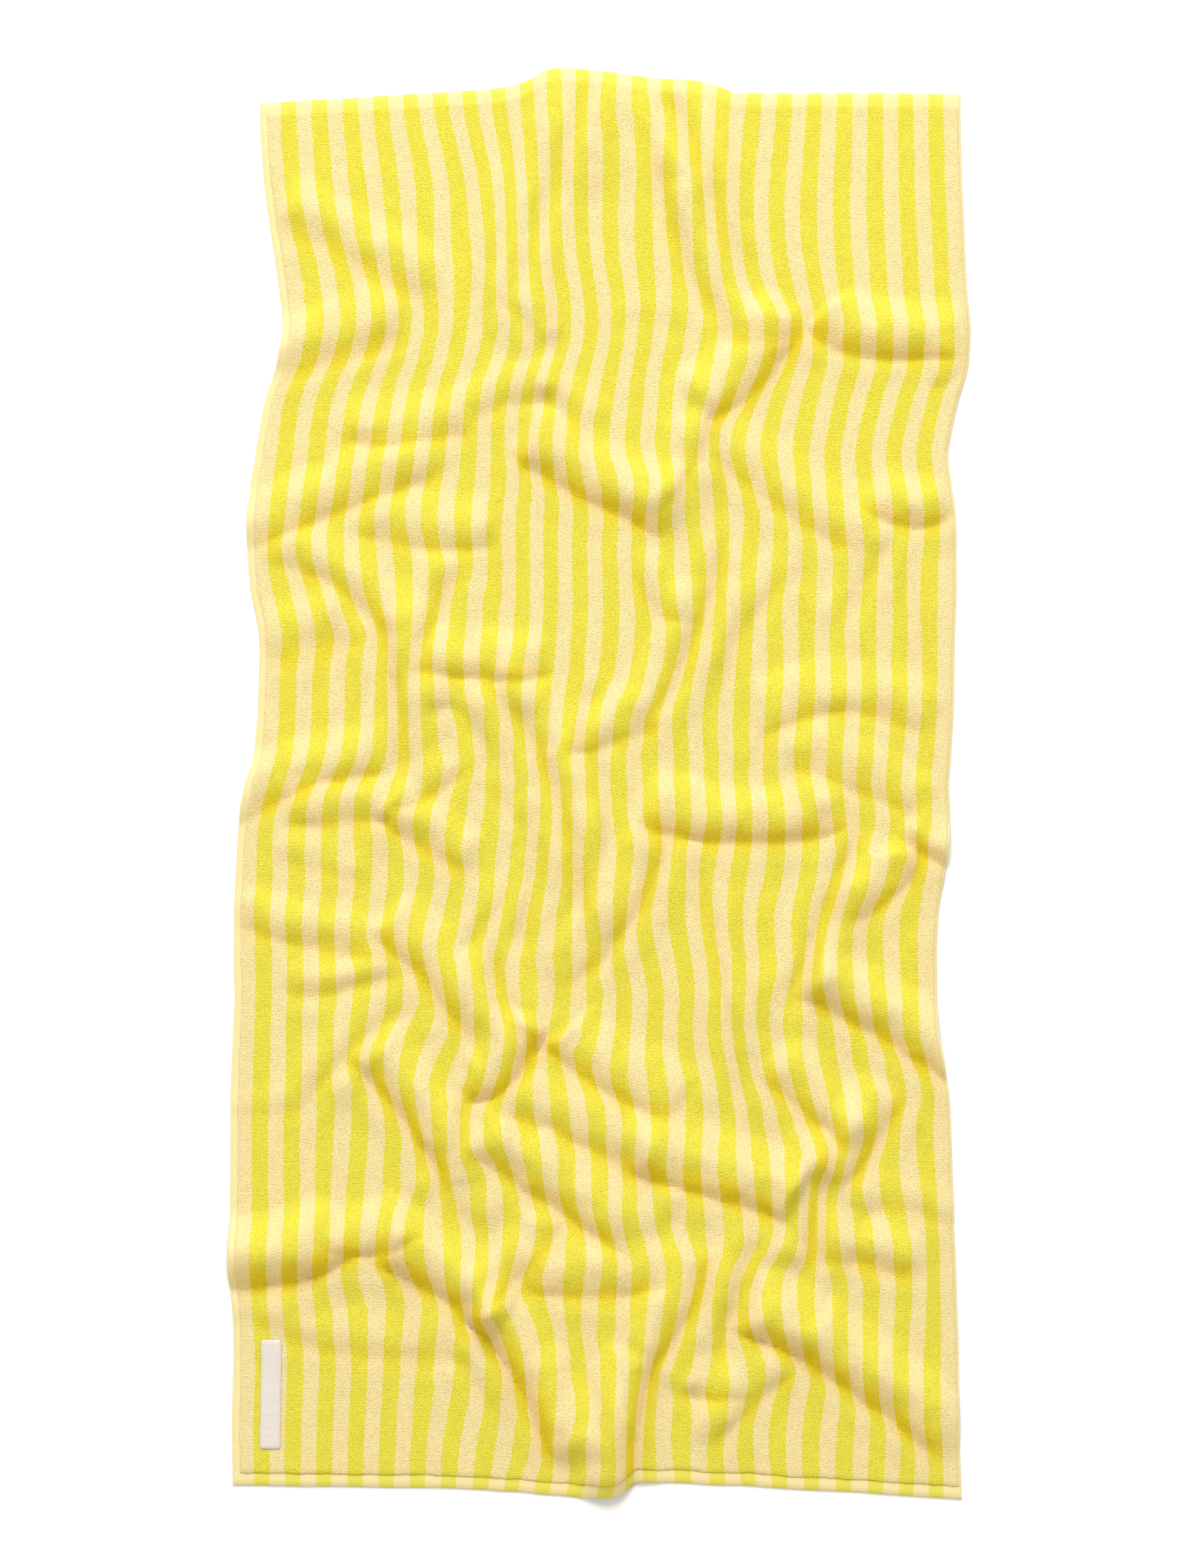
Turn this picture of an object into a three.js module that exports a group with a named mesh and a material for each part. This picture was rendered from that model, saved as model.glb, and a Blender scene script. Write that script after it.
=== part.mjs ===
// A striped terry bath towel, laid out full length on a surface with its pile up and left lightly crumpled.
// Millimetres. +X runs across the towel, +Y along it, +Z up. The origin is at the middle of its underside.
import * as THREE from 'three';

// ---- driving sizes ----
const PILE_THICK = 4.0;        // terry ground with its loops on both faces
const HEM_THICK = 2.4;         // flat woven, turned and stitched end
const SELVEDGE_THICK = 2.2;    // flat woven side edge
const HEM_WIDE = 11;           // at both ends
const SELVEDGE_WIDE = 7;       // at both sides
const PILE_EDGE = 2;           // width of the step from hem to pile
const CELLS_ACROSS = 30;       // facets across the pile
const CELLS_ALONG = 64;        // facets along the pile
const SETTLE = 1.0;            // rises below this are pressed flat by the towel's own weight

const FOOT = 0.72;             // under 1 makes the foot of a fold steeper than the rest of its rise
const LABEL_WIDE = 18.4;       // sewn-on woven label, bare
const LABEL_LONG = 98.4;
const LABEL_THICK = 1.2;
const LABEL_CORNER = 2.5;
const LABEL_GAP = 0.4;         // air between two faceted pieces
const LABEL_AT = { x: -297.8, y: -553.9, turn: 0 };   // centre, and turn in degrees

// A table with named columns: each row becomes an object.
const table = (columns, rows) => rows.map(r => Object.fromEntries(columns.map((c, i) => [c, r[i]])));

// ---- outline of the towel as it lies ----
// The side edges wander in and out where folds run off them.
const SIDES = table(['y', 'left', 'right'], [
  [-649, -332, 328],
  [-571, -333, 326],
  [-520, -332, 326],
  [-481, -333, 325],
  [-442, -337, 324],
  [-391, -336, 322],
  [-339, -336, 321],
  [-287, -336, 319],
  [-248, -335, 312],
  [-223, -334, 308],
  [-197, -333, 308],
  [-158, -334, 308],
  [-119, -334, 310],
  [-93, -333, 314],
  [-67, -332, 318],
  [-27, -329, 321],
  [-1, -324, 320],
  [25, -317, 322],
  [78, -313, 325],
  [130, -312, 326],
  [183, -321, 328],
  [235, -324, 328],
  [275, -321, 324],
  [301, -317, 321],
  [328, -313, 325],
  [354, -308, 331],
  [393, -296, 341],
  [420, -292, 342],
  [461, -296, 339],
  [514, -304, 337],
  [567, -311, 335],
  [621, -314, 334],
  [639, -314, 334],
]);
// The end edges: how far they stand from the origin.
const ENDS = table(['x', 'bottom', 'top'], [
  [-332, -636, 631],
  [-314, -636, 631],
  [-265, -637, 634],
  [-238, -637, 635],
  [-181, -638, 639],
  [-159, -638, 640],
  [-103, -640, 644],
  [-92, -641, 645],
  [-69, -642, 651],
  [-53, -644, 660],
  [-36, -645, 664],
  [-13, -647, 662],
  [0, -647, 661],
  [13, -646, 659],
  [23, -641, 658],
  [34, -633, 656],
  [78, -634, 652],
  [92, -635, 651],
  [112, -636, 646],
  [126, -636, 641],
  [155, -638, 640],
  [185, -640, 640],
  [233, -642, 640],
  [258, -644, 640],
  [334, -649, 639],
]);

// ---- folds ----
// Each row is one crease: a curved line through three points (x, y), where the cloth dips down, with a
// roll on one or both sides of it. left and right are the rolls' heights, rise is how far from the crease a
// roll's crest is, fall how far it takes to die away behind the crest. start and end are how gently the
// crease fades out at its two ends, as a share of its length, and sharp goes from 0, a round dip, to 1, a V.
const CREASES = table(['x0', 'y0', 'x1', 'y1', 'x2', 'y2', 'left', 'leftRise', 'leftFall', 'right', 'rightRise', 'rightFall', 'start', 'end', 'sharp'], [
  [-300, 514, -238, 483, -166, 444, 7.7, 28, 36, 1.1, 12, 26, 0.12, 0.1, 0.3],
  [-302, 368, -242, 387, -178, 408, 9.4, 30, 38, 2.2, 12, 26, 0.12, 0.15, 0.3],
  [-236, 311, -172, 313, -120, 322, 8.5, 22, 36, 2.2, 12, 26, 0.14, 0.12, 0.8],
  [-114, 333, -80, 350, -48, 352, 6.1, 18, 30, 1.7, 12, 26, 0.15, 0.2, 0.6],
  [-60, 358, -36, 343, -14, 320, 6.1, 17, 30, 1.7, 12, 26, 0.2, 0.2, 0.6],
  [-326, 211, -240, 250, -148, 281, 9.7, 23, 36, 2.2, 12, 26, 0.12, 0.15, 0.8],
  [-222, 228, -160, 217, -97, 218, 7.9, 22, 36, 2.2, 12, 26, 0.15, 0.06, 0.8],
  [-298, 200, -238, 176, -201, 138, 8.8, 22, 34, 1.1, 12, 26, 0.25, 0.12, 0.8],
  [-201, 152, -191, 95, -178, 16, 6.7, 18, 34, 3.3, 15, 26, 0.15, 0.15, 0.6],
  [-128, 196, -148, 160, -163, 104, 3.3, 15, 30, 6.1, 17, 30, 0.15, 0.15, 0.6],
  [-306, 108, -262, 114, -220, 130, 7.2, 34, 34, 1.7, 12, 26, 0.12, 0.15, 0.2],
  [-166, 103, -110, 95, -44, 100, 9.7, 20, 36, 3.3, 15, 26, 0.12, 0.08, 1],
  [-104, 88, -76, 58, -50, 20, 7.3, 20, 30, 5, 15, 28, 0.15, 0.15, 0.6],
  [-80, 301, -24, 266, 58, 229, 14.5, 27, 45, 1.7, 12, 26, 0.12, 0.08, 1],
  [194, 426, 151, 367, 101, 331, 1.7, 12, 26, 13.2, 27, 38, 0.1, 0.1, 0.9],
  [192, 421, 240, 396, 330, 391, 13.3, 26, 40, 2.2, 12, 26, 0.04, 0.12, 1],
  [48, 592, 68, 500, 114, 424, 6.1, 22, 34, 2.8, 15, 26, 0.15, 0.12, 0.3],
  [104, 414, 135, 404, 168, 410, 6.6, 26, 34, 1.7, 12, 26, 0.2, 0.2, 0.3],
  [52, 642, 86, 583, 113, 488, 6.6, 20, 32, 3.9, 18, 30, 0.12, 0.2, 0.3],
  [108, 297, 160, 255, 230, 213, 7.9, 27, 40, 2.2, 12, 26, 0.12, 0.08, 0.8],
  [244, 253, 286, 236, 327, 247, 10.9, 23, 34, 2.2, 12, 26, 0.15, 0.12, 0.9],
  [119, 220, 88, 130, 46, 58, 4.4, 15, 30, 7.3, 20, 30, 0.15, 0.12, 0.6],
  [30, 206, 44, 164, 80, 149, 6.1, 17, 28, 1.1, 12, 24, 0.15, 0.15, 0.6],
  [-28, 31, 14, 35, 57, 54, 7.9, 23, 32, 1.7, 12, 26, 0.12, 0.12, 0.8],
  [158, 46, 224, 66, 291, 43, 8.5, 22, 38, 2.2, 12, 26, 0.12, 0.12, 0.8],
  [178, 15, 232, -3, 293, -33, 7.3, 23, 30, 2.2, 12, 26, 0.15, 0.12, 0.8],
  [-334, -44, -278, -10, -200, 8, 10.9, 23, 36, 2.2, 12, 22, 0.12, 0.15, 1],
  [-286, -37, -238, -37, -194, -35, 7.9, 20, 28, 2.2, 12, 26, 0.12, 0.08, 0.8],
  [-206, -34, -167, -58, -125, -82, 9.7, 22, 30, 2.2, 12, 26, 0.08, 0.15, 0.8],
  [-190, -24, -156, -14, -124, 12, 7.3, 17, 26, 2.2, 12, 24, 0.12, 0.18, 0.7],
  [-334, -131, -265, -149, -197, -158, 7.9, 22, 28, 1.7, 12, 26, 0.1, 0.15, 0.8],
  [-204, -138, -164, -176, -120, -236, 11.6, 24, 36, 2.8, 14, 26, 0.1, 0.12, 1],
  [-290, -192, -240, -192, -182, -176, 6.1, 17, 24, 1.7, 12, 24, 0.15, 0.15, 0.6],
  [-223, -256, -177, -307, -142, -364, 14.5, 23, 34, 3.9, 15, 28, 0.08, 0.12, 1],
  [-121, -287, -80, -273, -46, -225, 15.4, 24, 36, 2.2, 12, 26, 0.1, 0.05, 1],
  [-48, -239, -6, -276, 59, -307, 12.1, 26, 44, 3.3, 15, 28, 0.03, 0.35, 1],
  [-100, -155, -88, -200, -60, -244, 6.1, 18, 28, 4.4, 15, 28, 0.15, 0.15, 0.6],
  [-92, -300, -25, -326, 42, -360, 9.7, 22, 34, 2.8, 14, 26, 0.12, 0.12, 0.8],
  [30, -357, 103, -374, 166, -399, 16.9, 28, 42, 2.8, 15, 26, 0.1, 0.05, 1],
  [-117, -338, -53, -377, 21, -426, 13.3, 23, 36, 2.8, 15, 26, 0.12, 0.12, 0.9],
  [-33, -402, -60, -440, -107, -475, 2.2, 12, 26, 7.9, 22, 30, 0.12, 0.15, 0.8],
  [-71, -461, 2, -466, 64, -457, 10.3, 23, 34, 3.3, 15, 26, 0.12, 0.1, 0.8],
  [-342, -458, -280, -452, -224, -430, 18.7, 31, 44, 2.8, 15, 26, 0.08, 0.1, 1],
  [-243, -424, -205, -427, -165, -413, 11, 23, 32, 1.7, 12, 26, 0.15, 0.15, 1],
  [-201, -438, -150, -463, -113, -499, 17.1, 27, 38, 2.8, 15, 26, 0.1, 0.1, 1],
  [-120, -492, -80, -534, -43, -614, 17.6, 24, 34, 2.8, 15, 26, 0.12, 0.1, 1],
  [106, -432, 80, -485, 50, -531, 4.4, 15, 28, 10.9, 23, 30, 0.12, 0.12, 0.8],
  [51, -527, 38, -575, 28, -646, 3.3, 15, 28, 12.1, 23, 36, 0.12, 0.1, 0.9],
  [148, -416, 126, -468, 113, -526, 4.4, 15, 28, 6.1, 17, 28, 0.15, 0.15, 0.6],
  [211, -330, 200, -388, 190, -440, 4.4, 18, 28, 10.5, 22, 34, 0.12, 0.12, 0.7],
  [148, -268, 183, -299, 224, -334, 10.9, 23, 32, 2.8, 14, 26, 0.15, 0.12, 1],
  [277, -289, 251, -330, 223, -371, 3.3, 15, 28, 11.6, 23, 32, 0.12, 0.12, 0.9],
  [185, -196, 246, -226, 323, -279, 14.5, 24, 38, 2.8, 14, 26, 0.1, 0.12, 1],
  [238, -45, 209, -110, 179, -190, 7.3, 17, 30, 5, 15, 28, 0.12, 0.12, 0.6],
  [289, -52, 284, -90, 232, -125, 2.2, 12, 26, 10.9, 23, 30, 0.12, 0.18, 0.9],
  [276, -50, 300, -66, 325, -77, 10.9, 17, 28, 1.7, 12, 22, 0.12, 0.15, 0.8],
  [199, -432, 240, -440, 286, -451, 9.7, 22, 30, 2.2, 12, 26, 0.12, 0.2, 0.7],
  [127, -498, 205, -536, 302, -606, 16.9, 26, 42, 2.8, 15, 26, 0.1, 0.12, 1],
  [73, -553, 96, -558, 129, -557, 9.7, 18, 28, 2.2, 12, 24, 0.15, 0.2, 0.8],
  [176, -538, 140, -566, 103, -604, 2.2, 12, 26, 6.7, 18, 30, 0.15, 0.15, 0.8],
  [35, -36, 125, -55, 223, -40, 13.3, 26, 40, 2.2, 13, 26, 0.08, 0.08, 1],
  [62, -46, 34, -118, -27, -185, 3.3, 15, 28, 9, 23, 32, 0.12, 0.18, 0.8],
  [-56, 22, -34, -35, -18, -125, 7.3, 20, 30, 5, 16, 30, 0.12, 0.2, 0.6],
]);
// Each row is one broad swell of the cloth: centre, height, half width, half length, and turn in degrees.
const SWELLS = table(['x', 'y', 'height', 'across', 'along', 'turn'], [
  [-75, 470, 7, 48, 150, 9],
  [80, 300, 9, 48, 130, -9],
  [-20, -40, 5, 50, 110, 6],
  [130, -210, 5, 45, 80, 0],
  [190, -440, 4, 50, 80, 0],
  [12, -585, 10, 46, 80, 0],
  [95, 560, 5, 50, 100, 20],
  [245, 240, 3, 60, 60, 0],
  [-170, 90, 4, 50, 90, 0],
  [5, 610, 7, 100, 80, 0],
  [45, -500, 4, 50, 60, 0],
  [-260, -240, 3, 60, 90, 0],
  [-60, -320, 3, 60, 70, 0],
  [200, 40, 3, 70, 70, 0],
  [-230, -430, 4, 90, 60, 0],
]);

// ---- helpers ----
const clamp = (v, a, b) => Math.min(b, Math.max(a, v));
const smooth = t => { const u = clamp(t, 0, 1); return u * u * (3 - 2 * u); };

// A smooth curve through a table's rows (key k, value v), by monotone cubic steps.
function curve(rows, k, v) {
  const n = rows.length, x = rows.map(r => r[k]), y = rows.map(r => r[v]);
  const s = [], m = [];
  for (let i = 0; i < n - 1; i++) s.push((y[i + 1] - y[i]) / (x[i + 1] - x[i]));
  for (let i = 0; i < n; i++) {
    if (i === 0) m.push(s[0]);
    else if (i === n - 1) m.push(s[n - 2]);
    else m.push(s[i - 1] * s[i] <= 0 ? 0 : 2 * s[i - 1] * s[i] / (s[i - 1] + s[i]));
  }
  return q => {
    let i = 0;
    while (i < n - 2 && q > x[i + 1]) i++;
    const h = x[i + 1] - x[i], t = clamp((q - x[i]) / h, 0, 1);
    const t2 = t * t, t3 = t2 * t;
    return y[i] * (2 * t3 - 3 * t2 + 1) + m[i] * h * (t3 - 2 * t2 + t) + y[i + 1] * (3 * t2 - 2 * t3) + m[i + 1] * h * (t3 - t2);
  };
}
const leftX = curve(SIDES, 'y', 'left'), rightX = curve(SIDES, 'y', 'right');
const bottomY = curve(ENDS, 'x', 'bottom'), topY = curve(ENDS, 'x', 'top');

// The four corners and a blend of the four edges between them.
const xBL = ENDS[0].x, xBR = ENDS[ENDS.length - 1].x;
const CORNER = {
  bl: [leftX(SIDES[0].y), bottomY(xBL)], br: [rightX(SIDES[0].y), bottomY(xBR)],
  tl: [leftX(SIDES[SIDES.length - 1].y), topY(xBL)], tr: [rightX(SIDES[SIDES.length - 1].y), topY(xBR)],
};
function place(s, t) {
  const mix = (a, b, f) => a + (b - a) * f;
  const yl = mix(CORNER.bl[1], CORNER.tl[1], t), yr = mix(CORNER.br[1], CORNER.tr[1], t);
  const L = [leftX(yl), yl], R = [rightX(yr), yr];
  const xb = mix(CORNER.bl[0], CORNER.br[0], s), xt = mix(CORNER.tl[0], CORNER.tr[0], s);
  const B = [xb, bottomY(xb)], T = [xt, topY(xt)];
  const at = i => mix(L[i], R[i], s) + mix(B[i], T[i], t)
    - mix(mix(CORNER.bl[i], CORNER.br[i], s), mix(CORNER.tl[i], CORNER.tr[i], s), t);
  return [at(0), at(1)];
}

// ---- the fold field ----
const STEPS = 12;
for (const c of CREASES) {
  const mx = 2 * c.x1 - (c.x0 + c.x2) / 2, my = 2 * c.y1 - (c.y0 + c.y2) / 2;
  c.line = [];
  for (let i = 0; i <= STEPS; i++) {
    const t = i / STEPS, u = 1 - t;
    c.line.push([u * u * c.x0 + 2 * u * t * mx + t * t * c.x2, u * u * c.y0 + 2 * u * t * my + t * t * c.y2]);
  }
  c.reach = Math.max(c.leftRise + c.leftFall, c.rightRise + c.rightFall);
}
// Signed distance to a crease (left is plus) and how far along it, from 0 to 1 and past both ends.
function along(c, x, y) {
  let best = null;
  for (let i = 0; i < STEPS; i++) {
    const [ax, ay] = c.line[i], vx = c.line[i + 1][0] - ax, vy = c.line[i + 1][1] - ay;
    let w = ((x - ax) * vx + (y - ay) * vy) / (vx * vx + vy * vy);
    if (i > 0) w = Math.max(0, w);
    if (i < STEPS - 1) w = Math.min(1, w);
    const ex = x - ax - w * vx, ey = y - ay - w * vy, d2 = ex * ex + ey * ey;
    if (!best || d2 < best.d2) best = { d2, side: vx * ey - vy * ex >= 0 ? 1 : -1, t: (i + w) / STEPS };
  }
  return [best.side * Math.sqrt(best.d2), best.t];
}
function roll(d, rise, fall, sharp) {
  if (d < rise) {
    const a = d / rise;
    return (1 - sharp) * (0.5 - 0.5 * Math.cos(Math.PI * a)) + sharp * Math.sin(0.5 * Math.PI * a) ** FOOT;
  }
  return 0.5 + 0.5 * Math.cos(Math.PI * Math.min(1, (d - rise) / fall));
}
function lift(x, y) {
  let z = 0;
  for (const c of CREASES) {
    const [d, t] = along(c, x, y);
    if (Math.abs(d) > c.reach) continue;
    const fade = smooth((t + c.start) / (2 * c.start)) * smooth((1 - t + c.end) / (2 * c.end));
    if (fade <= 0) continue;
    z += fade * (d >= 0 ? c.left * roll(d, c.leftRise, c.leftFall, c.sharp) : c.right * roll(-d, c.rightRise, c.rightFall, c.sharp));
  }
  for (const w of SWELLS) {
    const a = w.turn * Math.PI / 180, dx = x - w.x, dy = y - w.y;
    const u = (dx * Math.cos(a) + dy * Math.sin(a)) / w.across, v = (-dx * Math.sin(a) + dy * Math.cos(a)) / w.along;
    z += w.height * Math.max(0, 1 - u * u - v * v) ** 2;
  }
  return z;
}
// A facet's corner takes the mean of the cloth around it, so that narrow creases don't leave spikes.
function facetLift(x, y) {
  let z = 0, n = 0;
  for (const dx of [-6, 0, 6]) for (const dy of [-6, 0, 6]) {
    const w = (dx === 0 ? 2 : 1) * (dy === 0 ? 2 : 1);
    z += w * lift(x + dx, y + dy); n += w;
  }
  return Math.max(0, z / n - SETTLE);
}

// ---- the towel: one closed sheet ----
const [acrossLen, alongLen] = [CORNER.br[0] - CORNER.bl[0], CORNER.tl[1] - CORNER.bl[1]];
function lines(length, margin, cells) {
  const out = [0, margin, margin + PILE_EDGE];
  const a = margin + PILE_EDGE, b = length - a;
  for (let i = 1; i < cells; i++) out.push(a + (b - a) * i / cells);
  out.push(b, length - margin, length);
  return out.map(v => v / length);
}
const S = lines(acrossLen, SELVEDGE_WIDE, CELLS_ACROSS), T = lines(alongLen, HEM_WIDE, CELLS_ALONG);
const under = T.map(t => S.map(s => {
  const [x, y] = place(s, t);
  return [x, y, facetLift(x, y)];
}));
// The tables are measured from the middle of the picture: move the middle of the box over the origin.
const MID = [0, 1].map(k => {
  const all = under.flat().map(p => p[k]);
  return (Math.min(...all) + Math.max(...all)) / 2;
});
for (const row of under) for (const p of row) { p[0] -= MID[0]; p[1] -= MID[1]; }
const thick = (i, j) => {
  if (j <= 1 || j >= T.length - 2) return HEM_THICK;
  if (i <= 1 || i >= S.length - 2) return SELVEDGE_THICK;
  return PILE_THICK;
};
const upper = under.map((row, j) => row.map(([x, y, z], i) => [x, y, z + thick(i, j)]));

function sheetGeometry(low, high) {
  const nj = low.length, ni = low[0].length, pos = [], idx = [];
  for (const g of [low, high]) for (const row of g) for (const p of row) pos.push(...p);
  const id = (k, i, j) => k * ni * nj + j * ni + i;
  const quad = (a, b, c, d) => idx.push(a, b, c, a, c, d);
  for (let j = 0; j < nj - 1; j++) for (let i = 0; i < ni - 1; i++) {
    quad(id(1, i, j), id(1, i + 1, j), id(1, i + 1, j + 1), id(1, i, j + 1));
    quad(id(0, i, j), id(0, i, j + 1), id(0, i + 1, j + 1), id(0, i + 1, j));
  }
  for (let i = 0; i < ni - 1; i++) {
    quad(id(0, i, 0), id(0, i + 1, 0), id(1, i + 1, 0), id(1, i, 0));
    quad(id(0, i + 1, nj - 1), id(0, i, nj - 1), id(1, i, nj - 1), id(1, i + 1, nj - 1));
  }
  for (let j = 0; j < nj - 1; j++) {
    quad(id(0, 0, j + 1), id(0, 0, j), id(1, 0, j), id(1, 0, j + 1));
    quad(id(0, ni - 1, j), id(0, ni - 1, j + 1), id(1, ni - 1, j + 1), id(1, ni - 1, j));
  }
  const g = new THREE.BufferGeometry();
  g.setAttribute('position', new THREE.Float32BufferAttribute(pos, 3));
  g.setIndex(idx);
  g.computeVertexNormals();
  return g;
}

// ---- the label: a thin closed patch just above the towel's facets ----
// Height of the faceted upper side at a point, found on its triangles.
function upperAt(x, y) {
  for (let j = 0; j < T.length - 1; j++) for (let i = 0; i < S.length - 1; i++) {
    const a = upper[j][i], b = upper[j][i + 1], c = upper[j + 1][i + 1], d = upper[j + 1][i];
    if (x < Math.min(a[0], d[0]) - 1 || x > Math.max(b[0], c[0]) + 1 || y < Math.min(a[1], b[1]) - 1 || y > Math.max(c[1], d[1]) + 1) continue;
    for (const [p, q, r] of [[a, b, c], [a, c, d]]) {
      const den = (q[1] - r[1]) * (p[0] - r[0]) + (r[0] - q[0]) * (p[1] - r[1]);
      const u = ((q[1] - r[1]) * (x - r[0]) + (r[0] - q[0]) * (y - r[1])) / den;
      const v = ((r[1] - p[1]) * (x - r[0]) + (p[0] - r[0]) * (y - r[1])) / den;
      if (u >= -1e-6 && v >= -1e-6 && u + v <= 1 + 1e-6) return u * p[2] + v * q[2] + (1 - u - v) * r[2];
    }
  }
  return 0;
}
function labelGeometry() {
  const a = LABEL_AT.turn * Math.PI / 180, ca = Math.cos(a), sa = Math.sin(a);
  const us = [0, LABEL_CORNER, LABEL_WIDE / 2, LABEL_WIDE - LABEL_CORNER, LABEL_WIDE].map(v => v - LABEL_WIDE / 2);
  const vs = [0, LABEL_CORNER];
  for (let i = 1; i < 12; i++) vs.push(LABEL_CORNER + (LABEL_LONG - 2 * LABEL_CORNER) * i / 12);
  vs.push(LABEL_LONG - LABEL_CORNER, LABEL_LONG);
  const grid = vs.map((v, j) => us.map((u, i) => {
    // rounded corners: the outermost corner points are drawn in
    const corner = (i === 0 || i === us.length - 1) && (j === 0 || j === vs.length - 1);
    const k = corner ? 0.35 * LABEL_CORNER : 0;
    const lu = u - Math.sign(u) * k, lv = v - LABEL_LONG / 2 + (j === 0 ? k : j === vs.length - 1 ? -k : 0);
    const x = LABEL_AT.x - MID[0] + lu * ca - lv * sa, y = LABEL_AT.y - MID[1] + lu * sa + lv * ca;
    let top = 0;
    for (let e = -6; e <= 6; e += 1.5) for (let f = -6; f <= 6; f += 1.5) top = Math.max(top, upperAt(x + e, y + f));
    return [x, y, top + LABEL_GAP];
  }));
  return sheetGeometry(grid, grid.map(row => row.map(([x, y, z]) => [x, y, z + LABEL_THICK])));
}

// ---- the scene graph ----
const towel = new THREE.Mesh(sheetGeometry(under, upper), new THREE.MeshStandardMaterial({ color: 0xf6e27c, roughness: 0.95, metalness: 0 }));
towel.name = 'towel';
const label = new THREE.Mesh(labelGeometry(), new THREE.MeshStandardMaterial({ color: 0xefeae6, roughness: 0.8, metalness: 0 }));
label.name = 'label';

const part = new THREE.Group();
part.name = 'bath_towel';
part.add(towel, label);
export default part;
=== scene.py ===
# A striped terry bath towel, laid out full length with its pile up and lightly crumpled, seen from above.
import bpy, math
import numpy as np
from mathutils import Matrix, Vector


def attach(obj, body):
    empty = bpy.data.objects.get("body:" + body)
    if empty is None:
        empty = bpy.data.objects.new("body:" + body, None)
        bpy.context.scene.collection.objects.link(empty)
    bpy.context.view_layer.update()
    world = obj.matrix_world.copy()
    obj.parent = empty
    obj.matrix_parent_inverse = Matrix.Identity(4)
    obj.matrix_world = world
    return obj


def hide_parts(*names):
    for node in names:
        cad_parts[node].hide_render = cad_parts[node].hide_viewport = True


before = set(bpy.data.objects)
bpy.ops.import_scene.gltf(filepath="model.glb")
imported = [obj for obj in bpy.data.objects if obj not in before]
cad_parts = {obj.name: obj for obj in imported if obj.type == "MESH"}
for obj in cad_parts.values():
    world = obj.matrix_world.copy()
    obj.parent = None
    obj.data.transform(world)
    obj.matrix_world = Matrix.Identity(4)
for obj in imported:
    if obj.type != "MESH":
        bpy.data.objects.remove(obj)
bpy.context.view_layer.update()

# =============================== sizes, mm ===============================
FLAT_WIDE, FLAT_LONG = 700.0, 1400.0      # the towel as cut
PILE_THICK, HEM_THICK, SELVEDGE_THICK = 4.0, 2.4, 2.2
HEM_WIDE, SELVEDGE_WIDE = 11.0, 7.0
PILE_EDGE = 2.0
SETTLE = 1.0
CELLS_ACROSS, CELLS_ALONG = 192, 384      # fine cells of the upper side; the underside has half as many
CAD_CELLS_ACROSS, CAD_CELLS_ALONG = 30, 64
STRIPE_PITCH, STRIPE_FIRST, STRIPE_WIDE, STRIPE_WIDE_HEM = 29.45, 20.0, 15.2, 14.2
SELVEDGE_LESS = 4.5             # the right selvedge shows this much less
FOOT = 0.72                     # under 1 makes the foot of a fold steeper than the rest of its rise
TUCK, RELAX = 0.9, 80.0         # cloth taken up by a fold, in fold heights, and how far off (mm) that evens out
IN_STEP = 6                     # cells over which neighbouring rows of loops keep in step
LABEL_WIDE, LABEL_LONG, LABEL_THICK, LABEL_CORNER = 18.4, 98.4, 1.5, 2.6
LABEL_AT = (-297.8, -553.9, 0)


def table(columns, rows):
    """A table with named columns, as a list of dicts."""
    names = columns.split()
    return [dict(zip(names, r)) for r in rows]


# ---- outline of the towel as it lies ----
SIDES = table("y left right", [
  [-649, -332, 328],
  [-571, -333, 326],
  [-520, -332, 326],
  [-481, -333, 325],
  [-442, -337, 324],
  [-391, -336, 322],
  [-339, -336, 321],
  [-287, -336, 319],
  [-248, -335, 312],
  [-223, -334, 308],
  [-197, -333, 308],
  [-158, -334, 308],
  [-119, -334, 310],
  [-93, -333, 314],
  [-67, -332, 318],
  [-27, -329, 321],
  [-1, -324, 320],
  [25, -317, 322],
  [78, -313, 325],
  [130, -312, 326],
  [183, -321, 328],
  [235, -324, 328],
  [275, -321, 324],
  [301, -317, 321],
  [328, -313, 325],
  [354, -308, 331],
  [393, -296, 341],
  [420, -292, 342],
  [461, -296, 339],
  [514, -304, 337],
  [567, -311, 335],
  [621, -314, 334],
  [639, -314, 334],
])
ENDS = table("x bottom top", [
  [-332, -636, 631],
  [-314, -636, 631],
  [-265, -637, 634],
  [-238, -637, 635],
  [-181, -638, 639],
  [-159, -638, 640],
  [-103, -640, 644],
  [-92, -641, 645],
  [-69, -642, 651],
  [-53, -644, 660],
  [-36, -645, 664],
  [-13, -647, 662],
  [0, -647, 661],
  [13, -646, 659],
  [23, -641, 658],
  [34, -633, 656],
  [78, -634, 652],
  [92, -635, 651],
  [112, -636, 646],
  [126, -636, 641],
  [155, -638, 640],
  [185, -640, 640],
  [233, -642, 640],
  [258, -644, 640],
  [334, -649, 639],
])
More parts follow.
